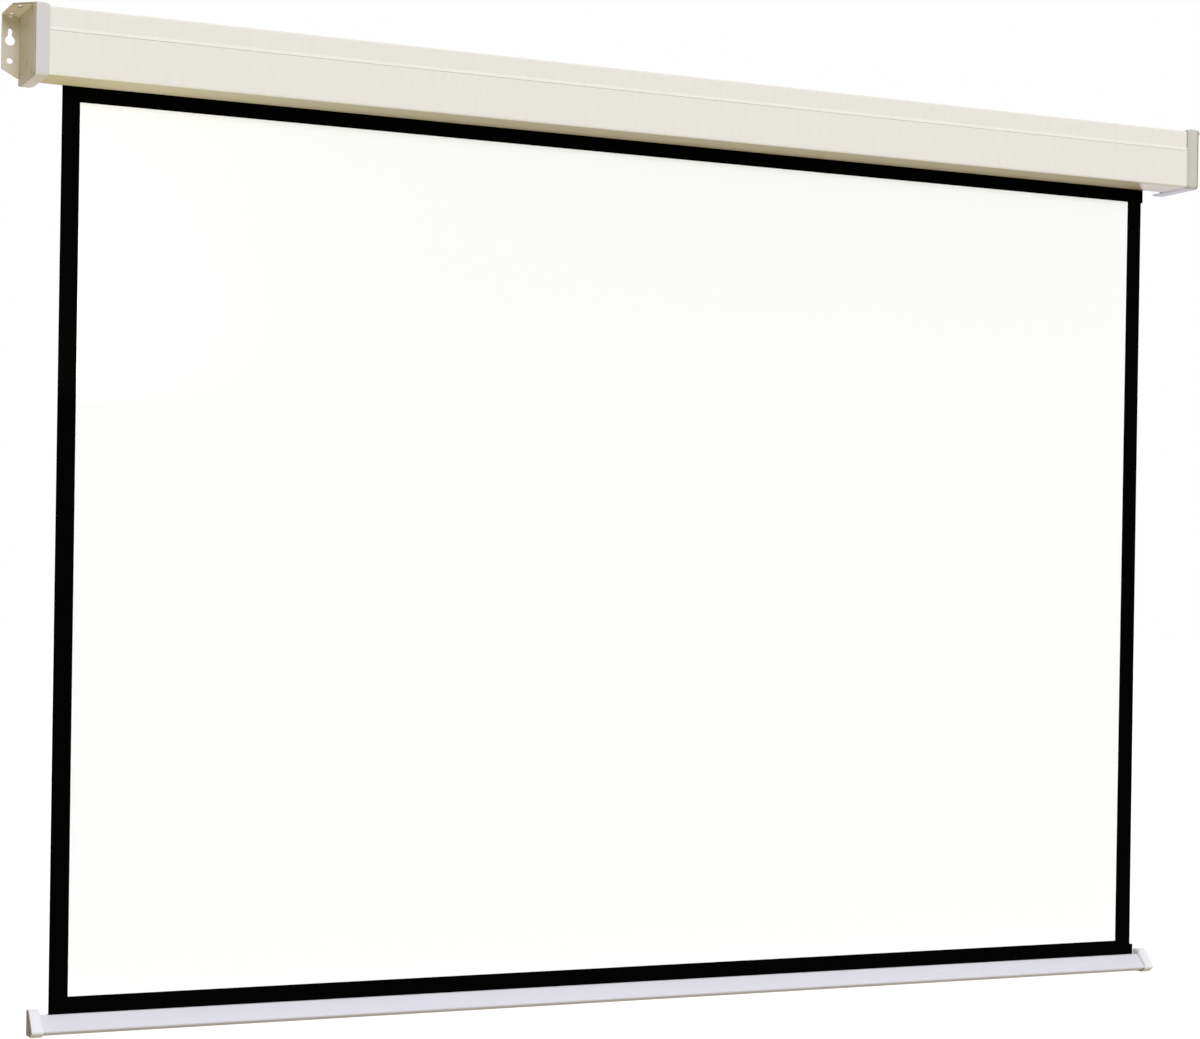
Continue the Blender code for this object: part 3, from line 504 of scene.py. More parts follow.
# Turned bright steel: fine rings round the piece, drawn out across its length.
bright_steel = mottled(
    "turned_steel", ("#BFC1C4", "#CFD1D2"), 4, 0.28, 0.8, 0.008, (6, 1, 1), metallic=1.0
)

# Enamelled copper wire under varnish: reddish brown, with the wire's ridges along the motor.
copper = mottled(
    "varnished_copper_winding", ("#7A4A2E", "#A0683F"), 3, 0.35, 1.2, 0.08, (1, 6, 6), metallic=0.9
)

# Glass-filled black nylon: near black, with a dull grain from the filler.
nylon = mottled("glass_filled_nylon", ("#242426", "#313133"), 4, 0.52, 0.9, 0.02)

# Grey moulded nylon for the drive parts.
grey_nylon = mottled("grey_moulded_nylon", ("#66686C", "#74767A"), 5, 0.48, 0.9, 0.015)

# Turned brass adjusters.
brass = mottled("turned_brass", ("#BE9852", "#D0AE66"), 3, 0.32, 0.6, 0.01, (6, 1, 1), metallic=1.0)

# Moulded rubber: matt black, with a bloom that greys it in patches.
rubber = mottled("moulded_rubber", ("#19191A", "#242425"), 5, 0.82, 1.0, 0.03)

# Extruded bar, lacquered a faintly lilac white: satin, with long faint draw lines along X.
lacquer = mottled("lacquered_bar", ("#D1CFD8", "#D6D4DD"), 7, 0.55, 1.0, 0.01, (0.08, 1, 1), specular=0.15)

# PVC-coated glass cloth, matt white: its 0.5 mm weave is drawn at 1.6 mm and shows as faint slubs.
white_cloth = woven("coated_screen_cloth", ("#FAFAFA", "#FDFDFD"), 0.92, 0.12, 1.6, 0.02)

# The same cloth where the black frame is printed, and the hem. The ink is dead matt, so almost no
# light comes back from it.
black_cloth = woven("printed_black_cloth", ("#020202", "#060606"), 0.95, 0.0, 1.6, 0.02)

# The black-out coat on the backs of the sheet and the hem: a soft charcoal in which the weave can
# just be seen.
back_coat = woven("black_out_coated_back", ("#131313", "#1B1A1A"), 0.85, 0.2, 1.6, 0.04)


# Casing


def make_casing():
    """Two profiles: the back, top and upper front in one, and the hooked front cover."""
    inner_top = CASING_TOP - CASING_WALL
    hook = UPPER_FACE + 5.5
    upper = outline(
        (0, BACK_FOOT, 0.5),
        (0, CASING_TOP, 0.8),
        (UPPER_FACE, CASING_TOP, 2.5),
        (UPPER_FACE, SEAM + 4.8, 2.5),
        (CASING_FACE, SEAM + 0.7, 0.35),
        (CASING_FACE, SEAM, 0.15),
        (hook, SEAM, 0.2),
        (hook, SEAM + CASING_WALL, 0.2),
        (UPPER_FACE + CASING_WALL, SEAM + CASING_WALL, 0.3),
        (UPPER_FACE + CASING_WALL, inner_top, 1),
        casing_channel(TOP_FRONT_CHANNEL, 90),
        casing_channel(TOP_BACK_CHANNEL, 90),
        (-CASING_WALL, inner_top, 0.5),
        (-CASING_WALL, BACK_FOOT + CASING_WALL, 0.4),
        casing_channel(BACK_CHANNEL, 270),
        (-BACK_RETURN, BACK_FOOT + CASING_WALL, 0.6),
        (-BACK_RETURN, BACK_FOOT, 0.6),
    )
    ends = ((-PROFILE_END, upper), (PROFILE_END, upper))
    solid("casing_upper", stacked(ends), powder_coat, "casing", ["top_profile"])

    bead = 1.5
    lip = LIP_EDGE - bead
    heel = LIP_EDGE - 3.5
    hook = CASING_FACE + 7
    cover = outline(
        (CASING_FACE, COVER_TOP, 0.2),
        (CASING_FACE, CASING_FLOOR, 3),
        arc((lip, CASING_FLOOR + bead), bead, 270, 450, 12),
        (heel, CASING_FLOOR + 2 * bead, 0.3),
        (heel, CASING_FLOOR + CASING_WALL, 0.3),
        casing_channel(COVER_CHANNEL, 270),
        (CASING_FACE + CASING_WALL, CASING_FLOOR + CASING_WALL, 1.5),
        (CASING_FACE + CASING_WALL, COVER_TOP - CASING_WALL, 0.3),
        (hook + CASING_WALL, COVER_TOP - CASING_WALL, 0.3),
        (hook + CASING_WALL, COVER_TOP + 5, 0.4),
        (hook, COVER_TOP + 5, 0.4),
        (hook, COVER_TOP, 0.2),
    )
    ends = ((-PROFILE_END, cover), (PROFILE_END, cover))
    finishes = (powder_coat, underside_painted_shade)
    made = solid("casing_cover", stacked(ends), finishes, "casing", ["front_cover"])
    # Faces turned downwards take the darker tones: painted shade under the cover.
    give_finishes(made, face_normals(made)[:, 2] < -0.8)


def bores(side, spread):
    """The holes of an end as (centre, radius): those of its screws are wider by the spread.

    The right end also has the way in to the two limit screws, and the grommet's hole.
    """
    holes = [(place, END_SCREW + CLEARANCE + spread) for place in END_CORNERS.values()]
    holes += [(place, BRACKET_SCREW + CLEARANCE + spread) for place in BRACKET_BOLTS.values()]
    if side > 0:
        holes += [(place, ACCESS_RADIUS) for place in ACCESS_PLACES]
        holes += [(GROMMET_PLACE, GROMMET_NECK + GAP)]
    return holes


def make_end_cap(side, word):
    """Sleeve of a moulded cap with a bevelled inner rim, and the web that closes it at the bracket."""
    ceiling = CASING_TOP + 0.1
    floor = CASING_FLOOR - 0.1
    front = CASING_FACE - 0.1

    def sleeve(fall):
        """The sleeve's section where its outside lies a little lower than at its full height."""
        return outline(
            (0, CAP_TOP - fall, 0.5),
            (CAP_FRONT + fall, CAP_TOP - fall, 3),
            (CAP_FRONT + fall, CAP_BOTTOM + fall, CAP_FOOT),
            (0, CAP_BOTTOM + fall, 0.5),
            (0, floor, 0.5),
            (front, floor, 3.3),
            (front, ceiling, 1.5),
            (0, ceiling, 0.5),
        )

    bevel = ((0, 1.75), (0.1, 1.6), (0.4, 1.5), (5.2, 0.08), (6.2, 0))
    stations = [(side * (CAP_RIM + run), sleeve(fall)) for run, fall in bevel]
    stations += eased(sleeve(0), side * (CAP_RIM + 7), side * CAP_FACE, 0.4)
    node = "end_cap_" + word
    # The right cap and its web take the darker tones of painted shade.
    solid("cap_" + word, stacked(stations), cap_abs_with_shaded_right[word], "casing", [node])

    lap = 0.6
    web = outline(
        (0, floor - lap, 0.5),
        (0, ceiling + lap, 0.5),
        (front - lap, ceiling + lap, 2),
        (front - lap, floor - lap, 4),
    )
    ends = (side * (CAP_FACE - CAP_WEB), side * (CAP_FACE - 0.05))
    stack = stacked([(x, web) for x in ends])
    holes = [stacked([(x, circle(*each)) for x in ends]) for each in bores(side, 0)]
    solid("cap_web_" + word, stack, cap_abs_with_shaded_right[word], "casing", [node], holes)


def ceiling_slot(y, centre):
    """A slot along Y, as an outline: two half circles and the run between them."""
    reach = CEILING_SLOT_RUN / 2
    far = arc((y + reach, centre), CEILING_SLOT_RADIUS, -90, 90, 14)
    return np.vstack([far, arc((y - reach, centre), CEILING_SLOT_RADIUS, 90, 270, 14)])[:, :2]


def keyhole(centre_x):
    """Round head with a narrower slot rising from it, as an outline walked against the clock."""
    half = KEYHOLE_SLOT / 2
    rise = np.degrees(np.arccos(half / KEYHOLE_RADIUS))
    head = arc((centre_x, KEYHOLE_Z), KEYHOLE_RADIUS, 180 - rise, 360 + rise, 30)
    return np.vstack([head, arc((centre_x, KEYHOLE_TOP - half), half, 0, 180, 12)])[:, :2]


def inside(points, loop):
    """Whether each point lies inside a closed loop: a ray along u crosses it an odd number of times."""
    after = np.roll(loop, -1, axis=0)
    crosses = (loop[:, 1] > points[:, 1:]) != (after[:, 1] > points[:, 1:])
    share = (points[:, 1:] - loop[:, 1]) / np.where(after[:, 1] == loop[:, 1], 1, after[:, 1] - loop[:, 1])
    hit = points[:, :1] < loop[:, 0] + share * (after[:, 0] - loop[:, 0])
    return (crosses & hit).sum(axis=1) % 2 == 1


def make_bracket(side, word):
    """One blank of steel, folded along two lines into plate, wall ear and ceiling flange.

    The blank is flat in (y, z). Past a fold line a point's distance goes round an arc of the fold
    radius for a quarter turn, and then straight on outwards.
    """
    quarter = FOLD * np.pi / 2
    plate_x = plate_high[0] - STEEL / 2
    ear_line = -STEEL / 2 - FOLD
    flange_line = flange_high[2] - STEEL / 2 - FOLD
    shift = quarter - FOLD - plate_x
    tip = ear_high[0] + shift
    middle = EAR_HOLES_X + shift
    low = plate_low[2]
    top = plate_high[2]
    front = plate_low[1]
    slit = 1.1
    past_fold = quarter + 0.3
    ear_top = flange_high[2] - 0.05
    flange_back = -STEEL - 0.05
    blank = outline(
        (0, low, 1.2),
        (0, ear_low[2] - slit, 0.4),
        (ear_line - 0.5, ear_low[2] - slit, 0.45),
        (ear_line - 0.5, ear_low[2], 0.45),
        (ear_line + quarter + 1, ear_low[2], 4),
        (ear_line + tip, ear_low[2] + EAR_DROP, 2.5),
        (ear_line + tip, ear_top, 0.6),
        (ear_line + past_fold, ear_top, 0.4),
        (ear_line + past_fold, flange_line - 0.1, 0.4),
        (ear_line - 0.1, flange_line - 0.1, 0.2),
        (ear_line - 0.1, flange_line + past_fold, 0.1),
        (flange_back, flange_line + past_fold, 0.4),
        (flange_back, flange_line + tip, 0.6),
        (FLANGE_CUT_Y, flange_line + tip, 2.5),
        (flange_low[1], flange_line + quarter + 1, 1.5),
        (flange_low[1], flange_line - 0.5, 0.45),
        (flange_low[1] - slit, flange_line - 0.5, 0.45),
        (flange_low[1] - slit, top, 0.4),
        (front, top, 3),
        (front, low, CAP_FOOT),
    )
    loops = [blank, keyhole(0) + (ear_line + middle, 0)]
    loops += [circle((ear_line + middle, ROUND_HOLE_Z), ROUND_HOLE_RADIUS)]
    loops += [ceiling_slot(y, flange_line + middle) for y in CEILING_SLOTS_Y]
    loops += [circle(place, radius, 24) for place, radius in bores(side, HEAD_SPREAD)]
    steps = np.linspace(0, quarter, 7)
    folds = [[(ear_line + s, ear_low[2]), (ear_line + s, flange_line - 0.1)] for s in steps]
    folds += [[(flange_low[1], flange_line + s), (ear_line - 0.1, flange_line + s)] for s in steps]

    points = np.vstack(loops + folds)
    edges = []
    count = 0
    for loop in loops:
        index = count + np.arange(len(loop))
        edges += np.stack([index, np.roll(index, -1)], axis=1).tolist()
        count += len(loop)
    edges += (count + np.arange(2 * len(folds)).reshape(-1, 2)).tolist()
    flat, _, faces, _, _, _ = delaunay_2d_cdt(points.tolist(), edges, [], 0, 1e-5)
    flat = np.array(flat)
    faces = np.array(faces)
    middles = flat[faces].mean(axis=1)
    keep = inside(middles, loops[0])
    for loop in loops[1:]:
        keep &= ~inside(middles, loop)
    faces = faces[keep]

    def folded(distance):
        """Where the sheet's middle lies at a distance past a fold line, and how far it has turned."""
        turn = np.clip(distance / FOLD, 0, np.pi / 2)
        rest = np.maximum(distance - quarter, 0)
        return FOLD * (1 - np.cos(turn)) + rest, FOLD * np.sin(turn) + np.minimum(distance, 0), turn

    y = flat[:, 0]
    z = flat[:, 1]
    on_ear = (z > ear_low[2] - slit / 2) & (y > ear_line) & ((z < flange_line) | (y > -1))
    on_flange = (y > flange_low[1] - slit / 2) & (z > flange_line) & (y < -1)
    ear_out, ear_along, ear_turn = folded(y - ear_line)
    flange_out, flange_along, flange_turn = folded(z - flange_line)
    turn = np.where(on_ear, ear_turn, 0) + np.where(on_flange, flange_turn, 0)
    middle = np.empty((len(flat), 3))
    middle[:, 0] = side * (plate_x + np.where(on_ear, ear_out, 0) + np.where(on_flange, flange_out, 0))
    middle[:, 1] = np.where(on_ear, ear_line + ear_along, y)
    middle[:, 2] = np.where(on_flange, flange_line + flange_along, z)
    facing = np.zeros((len(flat), 3))
    facing[:, 0] = side * np.cos(turn)
    facing[:, 1] = -np.where(on_ear, np.sin(turn), 0)
    facing[:, 2] = -np.where(on_flange, np.sin(turn), 0)
    shell = np.vstack([middle + facing * STEEL / 2, middle - facing * STEEL / 2])
    count = len(flat)
    around = np.sort(np.concatenate([faces[:, [0, 1]], faces[:, [1, 2]], faces[:, [2, 0]]]), axis=1)
    around, times = np.unique(around, axis=0, return_counts=True)
    rim = around[times == 1]
    walls = np.hstack([rim, rim[:, ::-1] + count])
    closed = faces.tolist() + (faces[:, ::-1] + count).tolist() + walls.tolist()
    nodes = [name + word for name in ("mounting_bracket_", "wall_ear_", "ceiling_flange_")]
    made = piece("bracket_" + word, shell, closed, (enamel, cut_edge), "casing", nodes)
    sides = np.array([len(each.vertices) for each in made.data.polygons])
    edge = (sides == 4) & (np.abs(face_normals(made)[:, 0]) < 0.9)
    give_finishes(made, edge)
    made.modifiers.clear()
    soft = made.modifiers.new("blunted edges", "BEVEL")
    soft.width = 0.25 * MM
    soft.segments = 2
    soft.limit_method = "ANGLE"
    soft.angle_limit = np.radians(50)
    weighted = made.modifiers.new("flats stay flat", "WEIGHTED_NORMAL")
    weighted.keep_sharp = True


# Screws


def cross(size):
    """A cross recess as an outline: four arms, each a quarter as wide as the cross, with eased corners."""
    reach = size / 2
    half = size * 0.13
    arm = [(reach, -half), (reach, half), (half, half)]
    turns = [(1, 0, 0, 1), (0, -1, 1, 0), (-1, 0, 0, -1), (0, 1, -1, 0)]
    corners = [(a * u + b * v, c * u + d * v, 0.12) for a, b, c, d in turns for u, v in arm]
    return outline(*corners, steps=3)


def make_screw(name, node, side, place, profile, size, finish, body):
    """A head with a cross recess on a plain shank: circles of the profile's (x, radius) along X.

    The profile starts at the head's flat face. The recess narrows to half its size at its floor.
    """
    stations = [(side * x, circle(place, radius, 28)) for x, radius in profile]
    face = profile[0][0]
    recess = [
        (side * (face - deep), np.array(place) + cross(size * share))
        for deep, share in ((0, 1), (0.25, 0.92), (1.2, 0.5))
    ]
    solid(name, stacked(stations), finish, body, [node], floors=[stacked(recess)])


def make_end_screws(side, word, carried):
    """Countersunk screws of one end: four into the profiles and two into the roller's bracket."""
    face = plate_high[0] - HEAD_SINK
    low, high = span(carried + "_bracket_screw_top")
    sets = [("end_screw_" + word, END_CORNERS, END_SCREW, END_SCREW_LENGTH)]
    sets += [(carried + "_bracket_screw", BRACKET_BOLTS, BRACKET_SCREW, high[0] - low[0])]
    for stem, places, radius, length in sets:
        head = radius + HEAD_SPREAD
        profile = [(face, head - 0.12), (face - 0.12, head), (face - 0.3, head), (face - STEEL, radius)]
        profile += [(face - length + 1.2, radius), (face - length, radius - 0.6)]
        for corner, place in places.items():
            node = stem + "_" + corner
            name = "screw_" + node
            make_screw(name, node, side, place, profile, 1.1 * head, enamel, "casing")


# Sheet and hem


def make_sheet():
    """The hanging sheet: a slab of true thickness whose front is cut into picture and frame.

    Its front lies at y(x, z) = plane + curl + ripple. The curl takes the last 45 mm of each side
    back by up to 0.9 mm, and the ripple is a slow sine across the width; both fade in from the
    casing and out at the hem, where the cloth is held straight.
    """
    border_cells = 2
    picture_cells = 72
    curl_width = 45
    curl = 0.9
    top = sheet_high[2]
    bottom = sheet_low[2]
    foot_line = BAR_ZERO + FOOT_BORDER

    def picture_sides(down):
        """The picture's left and right edges at a share of the way down, as the frame widens."""
        left_border = LEFT_BORDER[0] + (LEFT_BORDER[1] - LEFT_BORDER[0]) * down
        right_border = RIGHT_BORDER[0] + (RIGHT_BORDER[1] - RIGHT_BORDER[0]) * down
        return SHEET_LEFT + left_border, SHEET_RIGHT - right_border

    heights = np.concatenate(
        [
            np.linspace(top, PICTURE_TOP + 0.1, 8),
            np.linspace(PICTURE_TOP, foot_line, 60),
            np.linspace(foot_line - 0.1, bottom, 3),
        ]
    )
    down = np.clip((PICTURE_TOP - heights) / (PICTURE_TOP - bottom), 0, 1)[:, None]
    leader = (heights > PICTURE_TOP + 0.05)[:, None]
    left = SHEET_LEFT + 0 * down
    right = SHEET_RIGHT + (sheet_high[0] - SHEET_RIGHT) * leader
    inner_left, inner_right = picture_sides(down)
    side_share = np.linspace(0, 1, border_cells + 1)
    share = np.linspace(0, 1, picture_cells + 1)
    x = np.hstack(
        [
            left + (inner_left - left) * side_share[:-1],
            inner_left + (inner_right - inner_left) * share,
            inner_right + (right - inner_right) * side_share[1:],
        ]
    )
    held = np.sin(np.pi * np.clip(down, 0, 1)) ** 0.5
    edge = np.clip(1 - np.minimum(x - SHEET_LEFT, SHEET_RIGHT - x) / curl_width, 0, 1)
    ripple = 0.35 * np.sin(2 * np.pi * x / 410 + 1.5 * down) + 0.2 * np.sin(2 * np.pi * x / 173)
    middle = SHEET_Y + held * (curl * edge**2 + ripple)
    half = SHEET_THICKNESS / 2
    front = np.stack([x, middle - half, heights[:, None] + 0 * x], axis=-1)
    back = np.stack([x, middle + half, heights[:, None] + 0 * x], axis=-1)
    stack = np.concatenate([front, back[:, ::-1]], axis=1)
    uv = stack[..., [0, 2]].reshape(-1, 2)
    cloths = (white_cloth, black_cloth, back_coat)
    made = solid("sheet", stack, cloths, "casing", ["screen_sheet"], uv=uv)
    x, _, z = face_centres(made).T
    facing = face_normals(made)[:, 1]
    inner_left, inner_right = picture_sides((PICTURE_TOP - z) / (PICTURE_TOP - bottom))
    within = (z < PICTURE_TOP) & (z > foot_line) & (x > inner_left) & (x < inner_right)
    give_finishes(made, np.where(within & (facing < -0.5), 0, np.where(facing > 0.5, 2, 1)))
    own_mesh(made)


def make_hem():
    """The hem: two layers of cloth welded flat, opening into a loop round the rod in the bar.

    The strip's front and back each carry two pressed weld lines, 3 mm apart.
    """
    weld_depth = 0.12
    half = SHEET_THICKNESS
    loop = ROD_RADIUS + GAP
    outer = loop + SHEET_THICKNESS
    spread = np.degrees(np.arcsin(half / outer))
    height = hem_high[2] - BAR_ZERO + 0.6
    welds = height - np.array([3, 3.5, 4, 4.5, 6, 6.5, 7, 7.5])
    press = half - weld_depth * np.array([0, 1, 1, 0, 0, 1, 1, 0])
    zero = 0 * welds
    section = outline(
        (half, height, 0.12),
        (-half, height, 0.12),
        np.stack([-press, welds, zero], axis=1),
        arc(BAR_CHANNEL, outer, 90 + spread, 450 - spread, 36),
        np.stack([press, welds, zero], axis=1)[::-1],
    )
    bore = circle(BAR_CHANNEL, loop, 36)
    lift = np.array([SHEET_Y, BAR_ZERO])
    places = np.linspace(hem_low[0], hem_high[0], 40)
    stack = stacked([(x, section + lift) for x in places])
    hole = stacked([(x, bore + lift) for x in places])
    uv = np.concatenate([stack.reshape(-1, 3), hole.reshape(-1, 3)])[:, [0, 2]]
    cloths = (black_cloth, back_coat)
    made = solid("hem", stack, cloths, "weight_bar", ["bottom_hem"], [hole], uv=uv)
    give_finishes(made, face_normals(made)[:, 1] > 0.5)


def make_spare_turns():
    """The turns of cloth left on the roller: a spiral whose radius falls evenly with its angle.

    Its largest radius stops just short of the hanging sheet, so the roll clears it at every angle.
    """
    low, high = span("wound_cloth")
    turns = 1.5
    pitch = 0.9
    clear = 0.1
    outer_start = SHEET_Y - SHEET_THICKNESS / 2 - AXIS[0] - clear
    inner_start = outer_start - SHEET_THICKNESS
    turn = np.linspace(0, 2 * np.pi * turns, 145)
    inner = inner_start - pitch * turn / (2 * np.pi)
    outer = inner + SHEET_THICKNESS
    wheel = np.stack([np.cos(turn), np.sin(turn)], axis=1)
    section = np.vstack([outer[:, None] * wheel, (inner[:, None] * wheel)[::-1]]) + AXIS
    stack = stacked([(low[0], section), (high[0], section)])
    length = np.concatenate([turn, turn[::-1]]) * inner_start
    uv = np.stack([stack[..., 0], np.broadcast_to(length, stack.shape[:2])], axis=-1).reshape(-1, 2)
    made = solid("spare_turns", stack, black_cloth, "roller", ["wound_cloth"], uv=uv)


# Weight bar


def bar_outline():
    """Corners of the bar's outside: flat top, sloped front, rounded nose and undercut foot."""
    return (
        [(BAR_BACK, BAR_BOTTOM, 0.6), (BAR_BACK, BAR_TOP, 0.6)],
        [(BAR_TOP_FRONT, BAR_TOP, 1.2)],
        arc(BAR_NOSE, BAR_NOSE_RADIUS, 132, 248, 14),
        [(BAR_FOOT, BAR_BOTTOM, 0.8)],
    )


def make_bar():
    """Hollow bar with a necked channel for the hem along its top and a screw channel inside."""
    back, top_front, nose, foot = bar_outline()
    mouth = np.degrees(np.arcsin(BAR_NECK / BAR_CHANNEL_RADIUS))
    section = outline(
        back,
        (BAR_NECK, BAR_TOP, 0.3),
        arc(BAR_CHANNEL, BAR_CHANNEL_RADIUS, 90 - mouth, -270 + mouth, 36),
        (-BAR_NECK, BAR_TOP, 0.3),
        top_front,
        nose,
        foot,
    )
    keep = BAR_CHANNEL_RADIUS + BAR_WALL
    floor = BAR_BOTTOM + BAR_WALL
    inner_back = BAR_BACK - BAR_WALL
    shelf = BAR_CHANNEL[1] - keep
    shrunk = arc(BAR_NOSE, BAR_NOSE_RADIUS - BAR_WALL, 132, 248, 8)
    hollow = outline(
        (inner_back, shelf, 0.4),
        (inner_back, floor, 0.6),
        screw_channel(BAR_SCREW_PLACE, 270, BAR_SCREW_BORE, BAR_SCREW_OUTER, BAR_SCREW_SINK),
        (BAR_FOOT + 0.25, floor, 0.2),
        shrunk[::-1],
        (*BAR_HOLLOW_TOP, 0.3),
        arc(BAR_CHANNEL, keep, 200, 270, 8),
    )
    lift = np.array([SHEET_Y, BAR_ZERO])
    ends = (bar_low[0], bar_high[0])
    stack = stacked([(x, section + lift) for x in ends])
    hole = stacked([(x, hollow + lift) for x in ends])
    solid("bar", stack, lacquer, "weight_bar", ["weight_bar"], [hole])


def make_bar_cap(side, word):
    """A moulded cap over one end of the bar: a bevelled inner rim, a pocket, and a sunk screw.

    One surface runs from the outer face round its edge, along the outside, over the bevelled rim
    and back along the pocket to its floor. The screw's recess is a stepped hole between the two.
    The bevel swells as the sine of its run, four times as fast at the bar's back and foot.
    """
    low, high = span("bar_cap_" + word)
    outer = high[0] if side > 0 else -low[0]
    rim = low[0] if side > 0 else -high[0]
    end = bar_high[0] if side > 0 else -bar_low[0]
    plain = outline(*bar_outline())
    wide = grown(plain, BAR_CAP_RIM)
    rise = np.clip((wide[:, 1] - (BAR_TOP - 2)) / 2, 0, 1)
    drop = np.clip((BAR_BOTTOM + 2 - wide[:, 1]) / 2, 0, 1)
    top_room = BAR_CAP_TOP - wide[:, 1].max()
    bottom_room = wide[:, 1].min() - BAR_CAP_BOTTOM
    wide[:, 1] += rise * top_room - drop * bottom_room
    rim_edge = 0.9
    foot_room = 1.6
    narrow = grown(plain, rim_edge)
    pocket = grown(plain, GAP)
    pocket[:, 1] -= foot_room * drop
    floor = end + GAP
    stations = []
    for turn in np.radians(np.linspace(90, 0, 6)):
        section = grown(wide, -BAR_CAP_EDGE * (1 - np.cos(turn)))
        stations.append((outer - BAR_CAP_EDGE * (1 - np.sin(turn)), section))
    bevel = 5
    blunt = (plain[:, 1] < BAR_FOOT_LINE) | (plain[:, 0] > 0)
    pace = np.where(blunt, 4, 1)[:, None]
    for share in np.linspace(1, 0, 9):
        swell = np.sin(np.clip(share * pace, 0, 1) * np.pi / 2)
        stations.append((rim + bevel * share, narrow + (wide - narrow) * swell))
    stations += [(rim, pocket), (floor, pocket)]
    lift = np.array([SHEET_Y, BAR_ZERO])
    stack = stacked([(side * x, section + lift) for x, section in stations])
    head = BAR_SCREW_HEAD + GAP
    seat = outer - BAR_CAP_RECESS
    bore = 1.6
    steps = ((outer, head + 0.25), (outer - 0.25, head), (seat, head), (seat, bore), (floor, bore))
    place = np.array(BAR_SCREW_PLACE) + lift
    hole = stacked([(side * x, circle(place, radius, 32)) for x, radius in steps])
    finishes = (bar_cap_abs, bar_cap_end_painted_shade)
    node = "bar_cap_" + word
    made = solid("bar_end_" + word, stack, finishes, "weight_bar", [node], [hole])
    # The outer end face takes the darker tone: painted shade.
    at_end = side * face_centres(made)[:, 0] > outer - 0.2
    give_finishes(made, at_end & (side * face_normals(made)[:, 0] > 0.9))

    seat += GAP
    shank = 9
    tip = end - shank
    profile = [(seat + 1.4, 1.8), (seat + 1.3, 2.2), (seat + 0.9, 2.65), (seat + 0.4, BAR_SCREW_HEAD)]
    profile += [(seat, BAR_SCREW_HEAD), (seat, 1.2), (tip + 1, 1.2), (tip, 0.7)]
    node = "bar_cap_screw_" + word
    make_screw("screw_" + node, node, side, place, profile, 2.6, black_zinc, "weight_bar")


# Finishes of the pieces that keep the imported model's own shape
KEPT = {
    "idler_bracket": bright_steel,
    "motor_bracket": bright_steel,
    "idler_bush": nylon,
    "idler_plug": nylon,
    "idler_pin": bright_steel,
    "plug_rivet_top": zinc,
    "plug_rivet_bottom": zinc,
    "roller_tube": zinc,
    "limit_crown": grey_nylon,
    "drive_wheel": grey_nylon,
    "wheel_clip": bright_steel,
    "output_shaft": bright_steel,
    "motor_head": nylon,
    "motor_tube": zinc,
    "run_capacitor": grey_nylon,
    "motor_core": copper,
    "brake": grey_nylon,
    "gearbox": zinc,
    "cable_grommet": rubber,
    "hem_rod": bright_steel,
    "limit_screw_up": brass,
    "limit_screw_down": brass,
}


# Camera, light and floor


def make_camera():
    """Level camera turned to the right, rolled a little, where the photo was taken from."""
    camera = bpy.data.cameras.new("camera")
    camera.lens = CAMERA_LENS
    camera.sensor_width = 36
    camera.shift_y = CAMERA_SHIFT
    camera.clip_end = 100
    made = bpy.data.objects.new("camera", camera)
    yaw = np.radians(-CAMERA_YAW)
    level = Matrix.Rotation(yaw, 4, "Z") @ Matrix.Rotation(np.pi / 2, 4, "X")
    turn = level @ Matrix.Rotation(np.radians(CAMERA_ROLL), 4, "Z")
    made.matrix_world = Matrix.Translation(Vector(CAMERA_PLACE) * MM) @ turn
    bpy.context.scene.collection.objects.link(made)
    bpy.context.scene.camera = made


def make_sun(name, towards, level, softness, color):
    """A sun along a direction: a surface that faces it renders level times its own colour."""
    sun = bpy.data.lights.new(name, "SUN")
    sun.energy = np.pi * level
    sun.angle = np.radians(softness)
    sun.color = color
    made = bpy.data.objects.new(name, sun)
    made.rotation_euler = Vector(towards).to_track_quat("-Z", "Y").to_euler()
    bpy.context.scene.collection.objects.link(made)


def make_lamp(name, place, target, size, power, color):
    """A square soft lamp of a size in millimetres that looks from its place to a target."""
    lamp = bpy.data.lights.new(name, "AREA")
    lamp.energy = power
    lamp.size = size * MM
    lamp.color = color
    made = bpy.data.objects.new(name, lamp)
    way = (Vector(target) - Vector(place)) * MM
    aim = way.to_track_quat("-Z", "Y").to_matrix().to_4x4()
    made.matrix_world = Matrix.Translation(Vector(place) * MM) @ aim
    made.visible_camera = False
    made.visible_glossy = False
    bpy.context.scene.collection.objects.link(made)


def shown_white(tree):
    """1 for what the camera, a reflection or a see-through ray meets, and 0 for light that falls."""
    path = add(tree, "ShaderNodeLightPath").outputs
    rays = {0: path["Is Camera Ray"], 1: path["Is Glossy Ray"]}
    seen = add(tree, "ShaderNodeMath", rays, operation="MAXIMUM").outputs[0]
    rays = {0: seen, 1: path["Is Transmission Ray"]}
    return add(tree, "ShaderNodeMath", rays, operation="MAXIMUM").outputs[0]


def make_world(level, color):
    """Even light from all round, and plain white where it is seen."""
    world = bpy.data.worlds.new("studio")
    world.use_nodes = True
    tree = world.node_tree
    tree.nodes.clear()
    light = add(tree, "ShaderNodeBackground", {"Color": (*color, 1), "Strength": level})
    white = add(tree, "ShaderNodeBackground", {"Color": (1, 1, 1, 1), "Strength": 1.0})
    both = add(tree, "ShaderNodeMixShader", {0: shown_white(tree), 1: light.outputs[0], 2: white.outputs[0]})
    add(tree, "ShaderNodeOutputWorld", {0: both.outputs[0]})
    bpy.context.scene.world = world


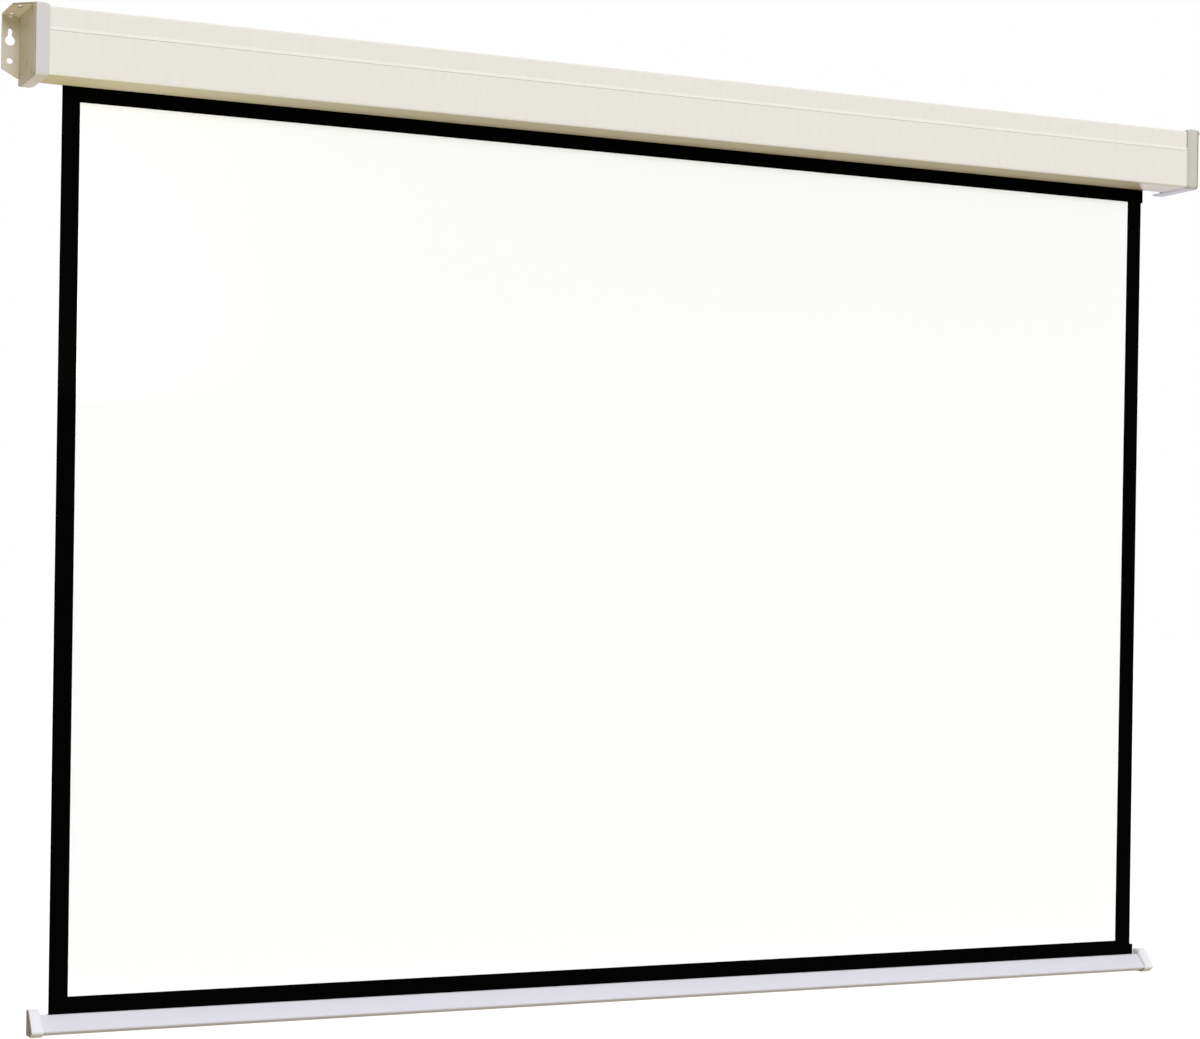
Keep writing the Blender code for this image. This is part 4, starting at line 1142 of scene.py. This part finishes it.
def make_floor(height):
    """Pale floor, warm where it throws light back, and white with the object's shadow where it is seen."""
    made, tree, shader = start("pale_floor", 0.9, 0.0, 0.1)
    shader.inputs["Base Color"].default_value = linear("#9B8E62")
    shader.inputs["Emission Color"].default_value = (0.79, 0.85, 1, 1)
    glow = add(tree, "ShaderNodeMath", {0: shown_white(tree), 1: 0.94}, operation="MULTIPLY")
    tree.links.new(glow.outputs[0], shader.inputs["Emission Strength"])
    reach = 60
    corners = [(reach * x, reach * y, height) for x, y in ((-1, -1), (1, -1), (1, 1), (-1, 1))]
    mesh = bpy.data.meshes.new("floor")
    mesh.from_pydata(corners, [], [(0, 1, 2, 3)])
    mesh.materials.append(made)
    floor = bpy.data.objects.new("floor", mesh)
    bpy.context.scene.collection.objects.link(floor)
    floor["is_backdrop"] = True


def main():
    bpy.context.scene.view_settings.view_transform = "Standard"
    make_camera()
    make_world(0.45, (1.0, 0.9, 0.7))
    make_sun("key", (-0.42, 0.88, -0.2), 0.34, 16, (0.82, 0.9, 1.0))
    make_sun("fill", (0.0, 0.96, -0.28), 0.47, 20, (0.78, 0.85, 1.0))
    make_sun("top", (0.0, 0.05, -1.0), 0.24, 30, (1.0, 0.98, 0.92))
    make_sun("back", (-0.3, -0.9, -0.4), 0.35, 40, (1.0, 0.98, 0.95))
    make_lamp("under", (1520, 920, -1096), (800, -40, -40), 150, 38.0, (0.58, 0.63, 1.0))
    make_lamp("under_left", (-880, -72, -420), (-860, -72, -40), 60, 0.6, (1.0, 0.97, 0.82))
    make_floor(-1.95)

    make_casing()
    for side, word in SIDES:
        make_end_cap(side, word)
        make_bracket(side, word)
    make_end_screws(-1, "left", "idler")
    make_end_screws(1, "right", "motor")
    make_sheet()
    make_hem()
    make_spare_turns()
    make_bar()
    for side, word in SIDES:
        make_bar_cap(side, word)
    for node, finish in KEPT.items():
        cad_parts[node].material_slots[0].material = finish


main()
boxes = {"cad": cad_box, "visual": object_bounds()}
boxes = {name: [list(corner) for corner in box] for name, box in boxes.items()}
